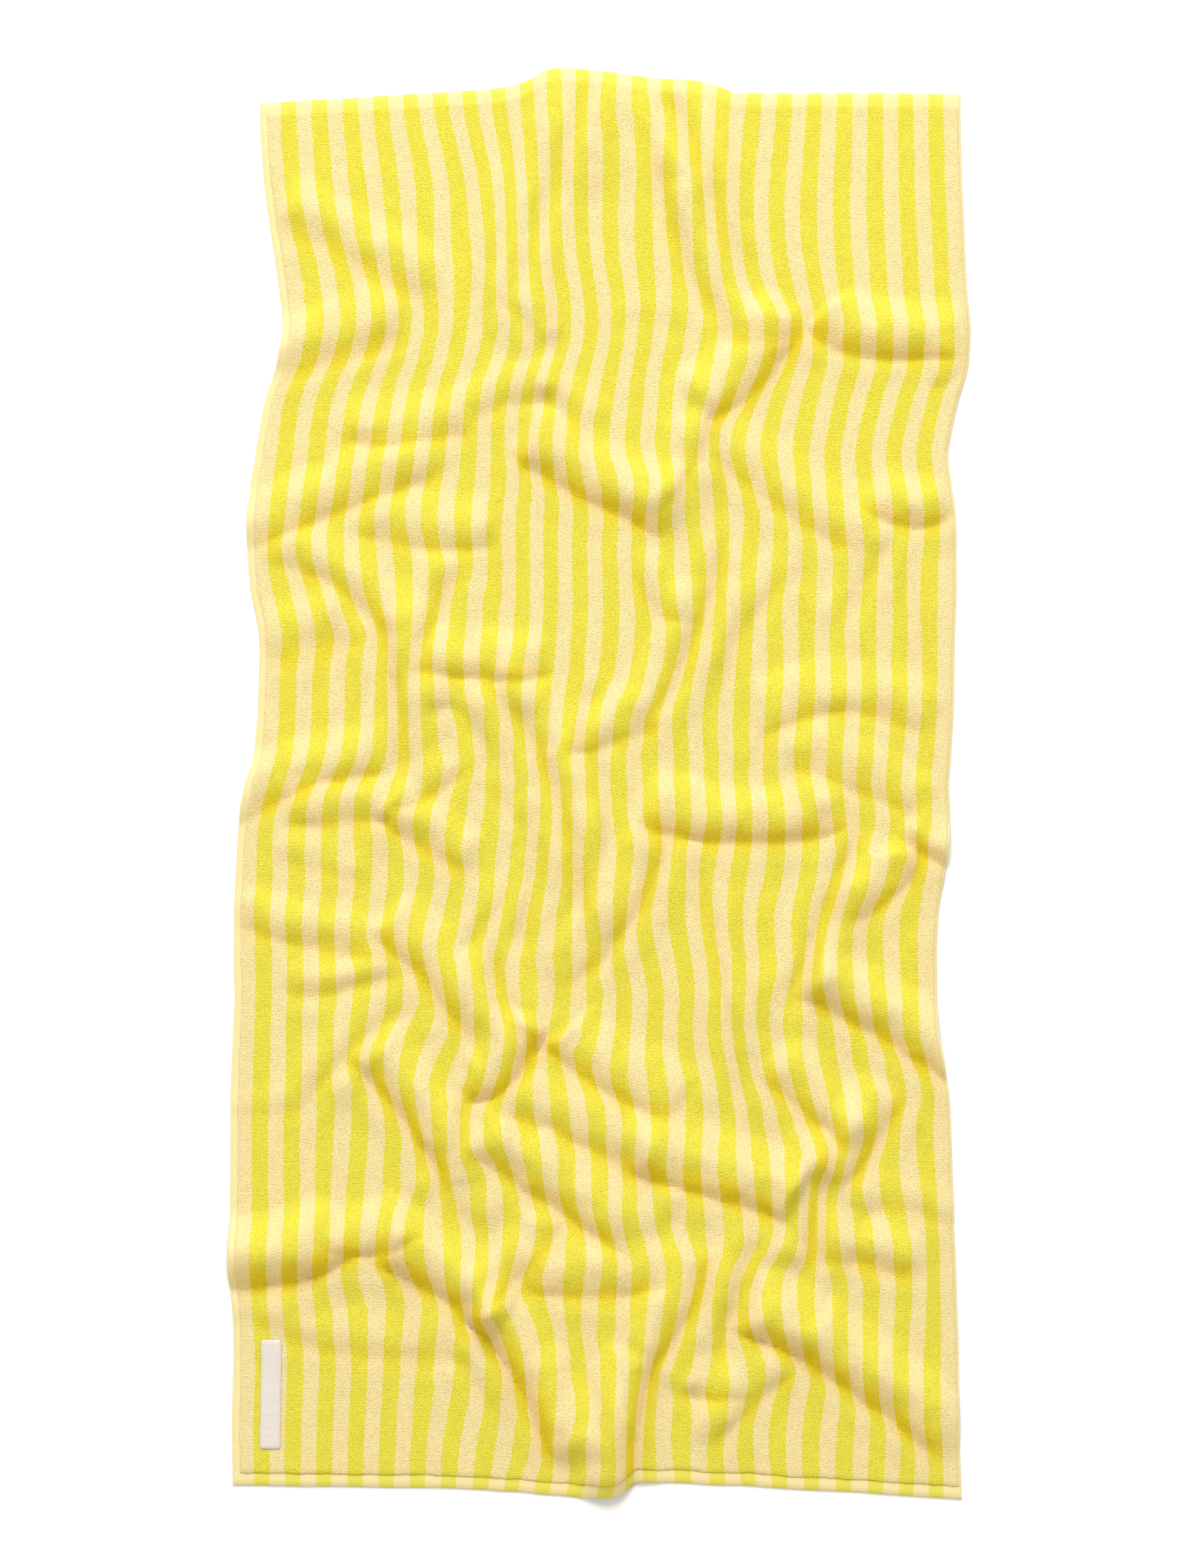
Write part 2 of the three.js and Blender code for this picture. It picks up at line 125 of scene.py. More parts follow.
# ---- creases: three points on each, a roll on one or both sides; the same rows as the solid's ----
COLUMNS = "x0 y0 x1 y1 x2 y2 left leftRise leftFall right rightRise rightFall start end sharp"
CREASES = table(COLUMNS, [
  [-300, 514, -238, 483, -166, 444, 7.7, 28, 36, 1.1, 12, 26, 0.12, 0.1, 0.3],
  [-302, 368, -242, 387, -178, 408, 9.4, 30, 38, 2.2, 12, 26, 0.12, 0.15, 0.3],
  [-236, 311, -172, 313, -120, 322, 8.5, 22, 36, 2.2, 12, 26, 0.14, 0.12, 0.8],
  [-114, 333, -80, 350, -48, 352, 6.1, 18, 30, 1.7, 12, 26, 0.15, 0.2, 0.6],
  [-60, 358, -36, 343, -14, 320, 6.1, 17, 30, 1.7, 12, 26, 0.2, 0.2, 0.6],
  [-326, 211, -240, 250, -148, 281, 9.7, 23, 36, 2.2, 12, 26, 0.12, 0.15, 0.8],
  [-222, 228, -160, 217, -97, 218, 7.9, 22, 36, 2.2, 12, 26, 0.15, 0.06, 0.8],
  [-298, 200, -238, 176, -201, 138, 8.8, 22, 34, 1.1, 12, 26, 0.25, 0.12, 0.8],
  [-201, 152, -191, 95, -178, 16, 6.7, 18, 34, 3.3, 15, 26, 0.15, 0.15, 0.6],
  [-128, 196, -148, 160, -163, 104, 3.3, 15, 30, 6.1, 17, 30, 0.15, 0.15, 0.6],
  [-306, 108, -262, 114, -220, 130, 7.2, 34, 34, 1.7, 12, 26, 0.12, 0.15, 0.2],
  [-166, 103, -110, 95, -44, 100, 9.7, 20, 36, 3.3, 15, 26, 0.12, 0.08, 1],
  [-104, 88, -76, 58, -50, 20, 7.3, 20, 30, 5, 15, 28, 0.15, 0.15, 0.6],
  [-80, 301, -24, 266, 58, 229, 14.5, 27, 45, 1.7, 12, 26, 0.12, 0.08, 1],
  [194, 426, 151, 367, 101, 331, 1.7, 12, 26, 13.2, 27, 38, 0.1, 0.1, 0.9],
  [192, 421, 240, 396, 330, 391, 13.3, 26, 40, 2.2, 12, 26, 0.04, 0.12, 1],
  [48, 592, 68, 500, 114, 424, 6.1, 22, 34, 2.8, 15, 26, 0.15, 0.12, 0.3],
  [104, 414, 135, 404, 168, 410, 6.6, 26, 34, 1.7, 12, 26, 0.2, 0.2, 0.3],
  [52, 642, 86, 583, 113, 488, 6.6, 20, 32, 3.9, 18, 30, 0.12, 0.2, 0.3],
  [108, 297, 160, 255, 230, 213, 7.9, 27, 40, 2.2, 12, 26, 0.12, 0.08, 0.8],
  [244, 253, 286, 236, 327, 247, 10.9, 23, 34, 2.2, 12, 26, 0.15, 0.12, 0.9],
  [119, 220, 88, 130, 46, 58, 4.4, 15, 30, 7.3, 20, 30, 0.15, 0.12, 0.6],
  [30, 206, 44, 164, 80, 149, 6.1, 17, 28, 1.1, 12, 24, 0.15, 0.15, 0.6],
  [-28, 31, 14, 35, 57, 54, 7.9, 23, 32, 1.7, 12, 26, 0.12, 0.12, 0.8],
  [158, 46, 224, 66, 291, 43, 8.5, 22, 38, 2.2, 12, 26, 0.12, 0.12, 0.8],
  [178, 15, 232, -3, 293, -33, 7.3, 23, 30, 2.2, 12, 26, 0.15, 0.12, 0.8],
  [-334, -44, -278, -10, -200, 8, 10.9, 23, 36, 2.2, 12, 22, 0.12, 0.15, 1],
  [-286, -37, -238, -37, -194, -35, 7.9, 20, 28, 2.2, 12, 26, 0.12, 0.08, 0.8],
  [-206, -34, -167, -58, -125, -82, 9.7, 22, 30, 2.2, 12, 26, 0.08, 0.15, 0.8],
  [-190, -24, -156, -14, -124, 12, 7.3, 17, 26, 2.2, 12, 24, 0.12, 0.18, 0.7],
  [-334, -131, -265, -149, -197, -158, 7.9, 22, 28, 1.7, 12, 26, 0.1, 0.15, 0.8],
  [-204, -138, -164, -176, -120, -236, 11.6, 24, 36, 2.8, 14, 26, 0.1, 0.12, 1],
  [-290, -192, -240, -192, -182, -176, 6.1, 17, 24, 1.7, 12, 24, 0.15, 0.15, 0.6],
  [-223, -256, -177, -307, -142, -364, 14.5, 23, 34, 3.9, 15, 28, 0.08, 0.12, 1],
  [-121, -287, -80, -273, -46, -225, 15.4, 24, 36, 2.2, 12, 26, 0.1, 0.05, 1],
  [-48, -239, -6, -276, 59, -307, 12.1, 26, 44, 3.3, 15, 28, 0.03, 0.35, 1],
  [-100, -155, -88, -200, -60, -244, 6.1, 18, 28, 4.4, 15, 28, 0.15, 0.15, 0.6],
  [-92, -300, -25, -326, 42, -360, 9.7, 22, 34, 2.8, 14, 26, 0.12, 0.12, 0.8],
  [30, -357, 103, -374, 166, -399, 16.9, 28, 42, 2.8, 15, 26, 0.1, 0.05, 1],
  [-117, -338, -53, -377, 21, -426, 13.3, 23, 36, 2.8, 15, 26, 0.12, 0.12, 0.9],
  [-33, -402, -60, -440, -107, -475, 2.2, 12, 26, 7.9, 22, 30, 0.12, 0.15, 0.8],
  [-71, -461, 2, -466, 64, -457, 10.3, 23, 34, 3.3, 15, 26, 0.12, 0.1, 0.8],
  [-342, -458, -280, -452, -224, -430, 18.7, 31, 44, 2.8, 15, 26, 0.08, 0.1, 1],
  [-243, -424, -205, -427, -165, -413, 11, 23, 32, 1.7, 12, 26, 0.15, 0.15, 1],
  [-201, -438, -150, -463, -113, -499, 17.1, 27, 38, 2.8, 15, 26, 0.1, 0.1, 1],
  [-120, -492, -80, -534, -43, -614, 17.6, 24, 34, 2.8, 15, 26, 0.12, 0.1, 1],
  [106, -432, 80, -485, 50, -531, 4.4, 15, 28, 10.9, 23, 30, 0.12, 0.12, 0.8],
  [51, -527, 38, -575, 28, -646, 3.3, 15, 28, 12.1, 23, 36, 0.12, 0.1, 0.9],
  [148, -416, 126, -468, 113, -526, 4.4, 15, 28, 6.1, 17, 28, 0.15, 0.15, 0.6],
  [211, -330, 200, -388, 190, -440, 4.4, 18, 28, 10.5, 22, 34, 0.12, 0.12, 0.7],
  [148, -268, 183, -299, 224, -334, 10.9, 23, 32, 2.8, 14, 26, 0.15, 0.12, 1],
  [277, -289, 251, -330, 223, -371, 3.3, 15, 28, 11.6, 23, 32, 0.12, 0.12, 0.9],
  [185, -196, 246, -226, 323, -279, 14.5, 24, 38, 2.8, 14, 26, 0.1, 0.12, 1],
  [238, -45, 209, -110, 179, -190, 7.3, 17, 30, 5, 15, 28, 0.12, 0.12, 0.6],
  [289, -52, 284, -90, 232, -125, 2.2, 12, 26, 10.9, 23, 30, 0.12, 0.18, 0.9],
  [276, -50, 300, -66, 325, -77, 10.9, 17, 28, 1.7, 12, 22, 0.12, 0.15, 0.8],
  [199, -432, 240, -440, 286, -451, 9.7, 22, 30, 2.2, 12, 26, 0.12, 0.2, 0.7],
  [127, -498, 205, -536, 302, -606, 16.9, 26, 42, 2.8, 15, 26, 0.1, 0.12, 1],
  [73, -553, 96, -558, 129, -557, 9.7, 18, 28, 2.2, 12, 24, 0.15, 0.2, 0.8],
  [176, -538, 140, -566, 103, -604, 2.2, 12, 26, 6.7, 18, 30, 0.15, 0.15, 0.8],
  [35, -36, 125, -55, 223, -40, 13.3, 26, 40, 2.2, 13, 26, 0.08, 0.08, 1],
  [62, -46, 34, -118, -27, -185, 3.3, 15, 28, 9, 23, 32, 0.12, 0.18, 0.8],
  [-56, 22, -34, -35, -18, -125, 7.3, 20, 30, 5, 16, 30, 0.12, 0.2, 0.6],
])
# ---- smaller creases that are too fine for the faceted solid ----
SMALL_CREASES = table(COLUMNS, [
  [-152, 64, -122, 58, -103, 6, 3.9, 15, 30, 3.3, 14, 26, 0.15, 0.15, 0.6],
  [101, 335, 92, 296, 60, 252, 1.7, 12, 26, 5, 18, 32, 0.15, 0.15, 0.8],
  [304, 364, 320, 370, 342, 387, 4.4, 14, 26, 1.1, 12, 26, 0.2, 0.15, 0.7],
  [-4, 654, -37, 570, -74, 462, 3.1, 17, 40, 2.6, 17, 30, 0.12, 0.2, 0.2],
  [-80, 580, -92, 505, -120, 438, 1.8, 14, 30, 2, 14, 26, 0.2, 0.2, 0.5],
  [-86, 442, -71, 424, -58, 404, 3.9, 15, 24, 2.2, 12, 22, 0.2, 0.2, 0.6],
  [12, 414, 42, 424, 72, 414, 1.8, 15, 28, 1.1, 12, 22, 0.18, 0.18, 0.6],
  [268, 226, 242, 178, 213, 134, 2.2, 13, 28, 3.5, 15, 30, 0.12, 0.18, 0.6],
  [283, 205, 285, 168, 292, 128, 2.2, 13, 24, 2.2, 13, 24, 0.2, 0.2, 0.5],
  [190, 190, 148, 160, 112, 88, 2.2, 13, 28, 3.5, 16, 30, 0.15, 0.18, 0.6],
  [4, 98, -12, 70, -22, 30, 3.9, 15, 28, 2.2, 12, 24, 0.18, 0.15, 0.6],
  [166, 52, 152, 34, 142, 10, 3.3, 15, 26, 1.7, 12, 24, 0.2, 0.25, 0.5],
  [-305, -65, -260, -82, -211, -92, 3.9, 15, 26, 1.1, 12, 22, 0.15, 0.2, 0.6],
  [-172, -208, -218, -240, -271, -299, 2.2, 13, 26, 3.9, 16, 30, 0.15, 0.2, 0.6],
  [-336, -306, -302, -304, -270, -298, 2.4, 13, 26, 1.1, 12, 22, 0.15, 0.25, 0.6],
  [-146, -356, -134, -384, -100, -408, 5, 16, 32, 2.8, 14, 26, 0.15, 0.15, 0.7],
  [92, -270, 75, -292, 60, -308, 1.1, 12, 24, 2.4, 13, 26, 0.18, 0.18, 0.6],
  [84, -372, 66, -402, 41, -420, 1.7, 12, 24, 2.8, 15, 28, 0.15, 0.15, 0.6],
  [-311, -486, -245, -517, -129, -524, 5.5, 20, 34, 1.7, 12, 26, 0.12, 0.12, 0.6],
  [-133, -520, -115, -540, -99, -572, 3.3, 16, 26, 1.7, 12, 24, 0.2, 0.25, 0.5],
  [170, -444, 190, -482, 208, -460, 2.2, 12, 22, 4.4, 15, 28, 0.2, 0.2, 0.6],
  [240, -398, 278, -388, 328, -409, 5, 15, 28, 2.2, 12, 26, 0.15, 0.15, 0.6],
  [-59, -29, -62, -101, -76, -159, 3.3, 16, 28, 3.3, 16, 28, 0.18, 0.15, 0.5],
  [-83, -92, -101, -128, -125, -153, 2.8, 15, 26, 3.9, 15, 26, 0.18, 0.18, 0.5],
  [86, -76, 110, -177, 129, -316, 3.3, 16, 30, 3.9, 16, 30, 0.15, 0.18, 0.5],
  [135, -101, 138, -177, 162, -246, 2.8, 16, 30, 2.8, 16, 30, 0.18, 0.18, 0.5],
  [-121, -287, -125, -309, -129, -334, 2.8, 15, 24, 2.8, 15, 24, 0.18, 0.18, 0.5],
  [-6, 25, 1, -6, 10, -45, 2.8, 15, 26, 2.8, 15, 26, 0.2, 0.2, 0.5],
  [-112, -6, -91, -20, -72, -38, 2.8, 15, 22, 1.7, 12, 22, 0.25, 0.25, 0.6],
])
SWELLS = table("x y height across along turn", [
  [-75, 470, 7, 48, 150, 9],
  [80, 300, 9, 48, 130, -9],
  [-20, -40, 5, 50, 110, 6],
  [130, -210, 5, 45, 80, 0],
  [190, -440, 4, 50, 80, 0],
  [12, -585, 10, 46, 80, 0],
  [95, 560, 5, 50, 100, 20],
  [245, 240, 3, 60, 60, 0],
  [-170, 90, 4, 50, 90, 0],
  [5, 610, 7, 100, 80, 0],
  [45, -500, 4, 50, 60, 0],
  [-260, -240, 3, 60, 90, 0],
  [-60, -320, 3, 60, 70, 0],
  [200, 40, 3, 70, 70, 0],
  [-230, -430, 4, 90, 60, 0],
])
# ---- where handling has pulled the stripes sideways: centre, pull across, and how far it reaches ----
PULLS = table("x y pull across along", [
  [-130, 560, -12, 55, 60],
  [20, 500, 13, 60, 90],
  [165, 500, 11, 70, 100],
  [70, 410, 11, 60, 50],
  [-210, 480, -7, 60, 160],
  [-110, 480, -9, 30, 50],
  [-110, 300, -10, 60, 50],
  [-110, 200, -9, 80, 50],
  [30, 270, -10, 40, 30],
  [200, 200, 6, 60, 80],
  [20, 60, 9, 50, 45],
  [130, 50, 9, 60, 50],
  [-120, -10, -12, 60, 45],
  [-150, -110, -9, 80, 60],
  [-130, -210, -9, 60, 50],
  [20, -210, -13, 70, 45],
  [90, -290, -11, 70, 60],
  [135, -380, -11, 50, 60],
  [-5, -430, -12, 45, 50],
  [-135, -430, -13, 45, 45],
  [-55, -510, -15, 35, 45],
  [60, -440, -10, 40, 35],
  [-25, -570, -14, 25, 35],
  [175, -470, -6, 80, 70],
  [290, -400, -5, 40, 100],
  [-240, 60, -4, 60, 300],
  [220, 470, 4, 60, 100],
])


# =============================== helpers ===============================
def smooth(t):
    t = np.clip(t, 0, 1)
    return t * t * (3 - 2 * t)


def curve(rows, k, v):
    x = np.array([r[k] for r in rows], float); y = np.array([r[v] for r in rows], float)
    s = np.diff(y) / np.diff(x)
    m = np.empty(len(x)); m[0] = s[0]; m[-1] = s[-1]
    for i in range(1, len(x) - 1):
        m[i] = 0 if s[i - 1] * s[i] <= 0 else 2 * s[i - 1] * s[i] / (s[i - 1] + s[i])

    def f(q):
        q = np.asarray(q, float)
        i = np.clip(np.searchsorted(x, q, side="left") - 1, 0, len(x) - 2)
        h = x[i + 1] - x[i]; t = np.clip((q - x[i]) / h, 0, 1); t2 = t * t; t3 = t2 * t
        return y[i] * (2 * t3 - 3 * t2 + 1) + m[i] * h * (t3 - 2 * t2 + t) + y[i + 1] * (3 * t2 - 2 * t3) + m[i + 1] * h * (t3 - t2)
    return f


left_x, right_x = curve(SIDES, "y", "left"), curve(SIDES, "y", "right")
bottom_y, top_y = curve(ENDS, "x", "bottom"), curve(ENDS, "x", "top")
xl, xr, yb, yt = ENDS[0]["x"], ENDS[-1]["x"], SIDES[0]["y"], SIDES[-1]["y"]
BL = (float(left_x(yb)), float(bottom_y(xl))); BR = (float(right_x(yb)), float(bottom_y(xr)))
TL = (float(left_x(yt)), float(top_y(xl))); TR = (float(right_x(yt)), float(top_y(xr)))


def place(s, t):
    """The towel's outline, blended inwards: s runs from 0, left, to 1, right, and t from 0, bottom, to 1, top."""
    s, t = np.broadcast_arrays(np.asarray(s, float), np.asarray(t, float))
    mix = lambda a, b, f: a + (b - a) * f
    yl, yr = mix(BL[1], TL[1], t), mix(BR[1], TR[1], t)
    xb, xt = mix(BL[0], BR[0], s), mix(TL[0], TR[0], s)
    L, R = (left_x(yl), yl), (right_x(yr), yr)
    B, T = (xb, bottom_y(xb)), (xt, top_y(xt))
    return [mix(L[i], R[i], s) + mix(B[i], T[i], t) - mix(mix(BL[i], BR[i], s), mix(TL[i], TR[i], s), t) for i in (0, 1)]


STEPS = 12


def crease_line(c):
    mx = 2 * c["x1"] - (c["x0"] + c["x2"]) / 2; my = 2 * c["y1"] - (c["y0"] + c["y2"]) / 2
    t = np.linspace(0, 1, STEPS + 1)[:, None]; u = 1 - t
    return u * u * np.array([c["x0"], c["y0"]]) + 2 * u * t * np.array([mx, my]) + t * t * np.array([c["x2"], c["y2"]])


def along(line, x, y):
    best = None
    for i in range(STEPS):
        ax, ay = line[i]; vx, vy = line[i + 1] - line[i]
        w = ((x - ax) * vx + (y - ay) * vy) / (vx * vx + vy * vy)
        if i > 0: w = np.maximum(0, w)
        if i < STEPS - 1: w = np.minimum(1, w)
        ex, ey = x - ax - w * vx, y - ay - w * vy
        d2 = ex * ex + ey * ey; side = np.where(vx * ey - vy * ex >= 0, 1.0, -1.0); t = (i + w) / STEPS
        if best is None: best = [d2, side, t]
        else:
            m = d2 < best[0]
            best = [np.where(m, a, b) for a, b in zip((d2, side, t), best)]
    return best[1] * np.sqrt(best[0]), best[2]


def roll(d, rise, fall, sharp):
    a = np.clip(d / rise, 0, 1)
    up = (1 - sharp) * (0.5 - 0.5 * np.cos(np.pi * a)) + sharp * np.sin(0.5 * np.pi * a) ** FOOT
    return np.where(d < rise, up, 0.5 + 0.5 * np.cos(np.pi * np.clip((d - rise) / fall, 0, 1)))


def lift(x, y):
    """Height of the folds over a point, before the towel's weight presses the low ones flat."""
    z = np.zeros_like(x)
    for c in CREASES + SMALL_CREASES:
        line = crease_line(c); long = np.hypot(*np.diff(line, axis=0).T).sum()
        reach = max(c["leftRise"] + c["leftFall"], c["rightRise"] + c["rightFall"]) + max(c["start"], c["end"]) * long + 1
        m = (x > line[:, 0].min() - reach) & (x < line[:, 0].max() + reach) & (y > line[:, 1].min() - reach) & (y < line[:, 1].max() + reach)
        if not m.any(): continue
        d, t = along(line, x[m], y[m])
        fade = smooth((t + c["start"]) / (2 * c["start"])) * smooth((1 - t + c["end"]) / (2 * c["end"]))
        z[m] += fade * np.where(d >= 0, c["left"] * roll(d, c["leftRise"], c["leftFall"], c["sharp"]),
                                c["right"] * roll(-d, c["rightRise"], c["rightFall"], c["sharp"]))
    for w in SWELLS:
        a = math.radians(w["turn"]); dx, dy = x - w["x"], y - w["y"]
        u = (dx * math.cos(a) + dy * math.sin(a)) / w["across"]; v = (-dx * math.sin(a) + dy * math.cos(a)) / w["along"]
        z += w["height"] * np.maximum(0, 1 - u * u - v * v) ** 2
    return z


def noise(x, y, scale, seed):
    """Smooth value noise from -1 to 1, the same each run."""
    r = np.random.RandomState(seed).uniform(-1, 1, (64, 64))
    X, Y = np.asarray(x, float) / scale + 7.3, np.asarray(y, float) / scale + 3.1
    i, j = np.floor(X).astype(int), np.floor(Y).astype(int)
    fx, fy = smooth(X - i), smooth(Y - j)
    g = lambda a, b: r[a % 64, b % 64]
    return (g(i, j) * (1 - fx) + g(i + 1, j) * fx) * (1 - fy) + (g(i, j + 1) * (1 - fx) + g(i + 1, j + 1) * fx) * fy


def settled(x, y):
    """Height of the underside: low rises are pressed flat, and long soft unevenness stays. The creases wander a little
    and rise unevenly along their way."""
    wx = 2.6 * noise(x, y, 31, 41) + 1.3 * noise(x, y, 13, 42)
    wy = 2.6 * noise(x, y, 31, 43) + 1.3 * noise(x, y, 13, 44)
    z = lift(x + wx, y + wy) * (1 + 0.16 * noise(x, y, 38, 45) + 0.07 * noise(x, y, 16, 46))
    edge = noise(x, y, 46, 5) * 0.45 + noise(x, y, 23, 6) * 0.25
    z = z - SETTLE + edge * smooth(z / 6 + 0.35)
    return np.maximum(0, 0.5 * (z + np.sqrt(z * z + 0.8)) - 0.16)


# =============================== the towel ===============================
def cad_lines(length, margin, cells):
    a = margin + PILE_EDGE
    return np.concatenate([[0, margin], np.linspace(a, length - a, cells + 1), [length - margin, length]]) / length


ACROSS, ALONG = BR[0] - BL[0], TL[1] - BL[1]
gx, gy = place(cad_lines(ACROSS, SELVEDGE_WIDE, CAD_CELLS_ACROSS)[None, :], cad_lines(ALONG, HEM_WIDE, CAD_CELLS_ALONG)[:, None])
MID = ((gx.min() + gx.max()) / 2, (gy.min() + gy.max()) / 2)     # the solid's own shift to the origin


def fine_lines(length, margin, cells):
    """Lines close together at the margin's outer edge and at the pile's edge, then even."""
    near = np.array([0, 0.5, 1.4, margin * 0.55, margin - 0.9, margin - 0.2, margin + 0.7, margin + 2.0])
    even = np.linspace(margin + 2.0, length - margin - 2.0, cells - 2 * (len(near) - 1) + 1)
    return np.concatenate([near[:-1], even, (length - near[:-1])[::-1]])


sm, tm = fine_lines(ACROSS, SELVEDGE_WIDE, CELLS_ACROSS), fine_lines(ALONG, HEM_WIDE, CELLS_ALONG)
SS, TT = np.meshgrid(sm, tm)
# the pile's edge wanders a little against the hem and the side edges
near_b = np.exp(-((TT - HEM_WIDE) / 3.0) ** 2); near_t = np.exp(-((ALONG - TT - HEM_WIDE) / 3.0) ** 2)
near_l = np.exp(-((SS - SELVEDGE_WIDE) / 3.0) ** 2); near_r = np.exp(-((ACROSS - SS - SELVEDGE_WIDE) / 3.0) ** 2)
T2 = TT + near_b * (0.6 * noise(SS, 0 * SS, 9, 1) + 0.35 * noise(SS, 0 * SS, 3.5, 2)) + near_t * (0.5 * noise(SS, 0 * SS + 50, 9, 3))
S2 = SS + near_l * (0.5 * noise(TT, 0 * TT, 9, 4) + 0.3 * noise(TT, 0 * TT, 3.5, 7)) + near_r * (0.5 * noise(TT, 0 * TT + 50, 9, 8))
PX, PY = place(S2 / ACROSS, T2 / ALONG)
Z0 = settled(PX, PY)


def thickness(ds, dt, less=0.0):
    """From the distances to the nearest side edge and end edge."""
    flat = np.where(dt < HEM_WIDE + 0.01, HEM_THICK, SELVEDGE_THICK)
    pile = smooth((ds + less - SELVEDGE_WIDE + 2.2) / 5.0) * smooth((dt - HEM_WIDE + 0.3) / 1.6)
    rim = smooth(np.minimum(ds, dt) / 1.5 + 0.12)
    return (flat + (PILE_THICK - flat) * pile) * (0.45 + 0.55 * rim)


dS = np.minimum(SS, ACROSS - SS); dT = np.minimum(TT, ALONG - TT)
TH = thickness(dS, dT, np.where(SS > ACROSS / 2, SELVEDGE_LESS, 0))
loops = smooth((np.minimum(dS - SELVEDGE_WIDE, dT - HEM_WIDE)) / 3)
TH = TH + loops * (0.16 * noise(SS, TT, 5.2, 11) + 0.12 * noise(SS, TT, 11, 12))
XU, YU = PX - MID[0], PY - MID[1]
ZT = Z0 + TH

# flat cloth coordinates from lengths measured over the folds, row by row and column by column
def blurred(a, axis, reach):
    """Average over a run of cells along one axis, three times."""
    n = 2 * reach + 1
    for _ in range(3):
        p = np.concatenate([np.repeat(np.take(a, [0], axis), reach + 1, axis), a, np.repeat(np.take(a, [-1], axis), reach, axis)], axis)
        c = np.cumsum(p, axis=axis)
        a = (np.take(c, range(n, c.shape[axis]), axis) - np.take(c, range(0, c.shape[axis] - n), axis)) / n
    return a


def measured(X, Y, Z, axis, total):
    """Length along the folded cloth from one edge, with neighbouring rows kept in step."""
    d = np.sqrt(np.diff(X, axis=axis) ** 2 + np.diff(Y, axis=axis) ** 2 + np.diff(Z, axis=axis) ** 2)
    d = blurred(d, 1 - axis, IN_STEP)
    c = np.cumsum(d, axis=axis)
    z = np.zeros_like(np.take(c, [0], axis=axis))
    c = np.concatenate([z, c], axis=axis)
    return c / np.take(c, [-1], axis=axis) * total


ZS = Z0.copy()
CU = measured(XU, YU, ZS, 1, FLAT_WIDE)
CV = measured(XU, YU, ZS, 0, FLAT_LONG)
free = smooth(dS / 30)


def tucked(x, y):
    """Sideways shift of the cloth's own measure: a fold takes up cloth across its line, and this evens out beyond it."""
    du = np.zeros_like(x)
    for c in CREASES + SMALL_CREASES:
        line = crease_line(c); chord = line[-1] - line[0]; chord /= np.hypot(*chord)
        d, t = along(line, x, y)
        fade = smooth((t + c["start"]) / (2 * c["start"])) * smooth((1 - t + c["end"]) / (2 * c["end"]))
        big = max(c["left"], c["right"]); near = np.abs(d)
        for side, high, rise in ((1, c["left"], c["leftRise"]), (-1, c["right"], c["rightRise"])):
            own = np.where(d * side >= 0, 0.5 * high * np.sin(0.5 * np.pi * np.clip(near / rise, 0, 1)) * (1 - smooth((near - rise) / RELAX)), 0)
            far = np.where(d * side < 0, 0.5 * high * smooth(near / 12) * (1 - smooth((near - 12) / RELAX)), 0)
            # the cloth's normal across the line, towards this side
            du += fade * side * -chord[1] * (own - far)
    return TUCK * du


CU = CU + free * tucked(PX, PY)
for p in PULLS:
    CU = CU + free * p["pull"] * np.exp(-((PX - p["x"]) / p["across"]) ** 2 - ((PY - p["y"]) / p["along"]) ** 2)
# at the hems the margins keep their cut width
CV = np.where(TT <= HEM_WIDE + 2, TT, np.where(TT >= ALONG - HEM_WIDE - 2, FLAT_LONG - (ALONG - TT), CV))


def spread(a, reach):
    return blurred(blurred(a, 0, reach), 1, reach)


# painted shade at the foot of each fold: the colour there is made darker and warmer, most on the rising side and a
# little past the foot on the other side
def painted_fold_shade(x, y):
    foot_shade = np.zeros_like(x)
    for c in CREASES + SMALL_CREASES:
        line = crease_line(c)
        d, t = along(line, x, y)
        fade = smooth((t + c["start"]) / (2 * c["start"])) * smooth((1 - t + c["end"]) / (2 * c["end"]))
        own = np.where(d >= 0, c["left"] * (1 - smooth(d / c["leftRise"])), c["right"] * (1 - smooth(-d / c["rightRise"])))
        foot_shade += fade * np.maximum(own, 0.75 * max(c["left"], c["right"]) * (1 - smooth(np.abs(d) / 15)))
    return foot_shade


# mask of the painted shade at the feet of folds
FOLD_FOOT_SHADE = np.clip(painted_fold_shade(PX, PY) / 12.0 - 0.08, 0, 1)


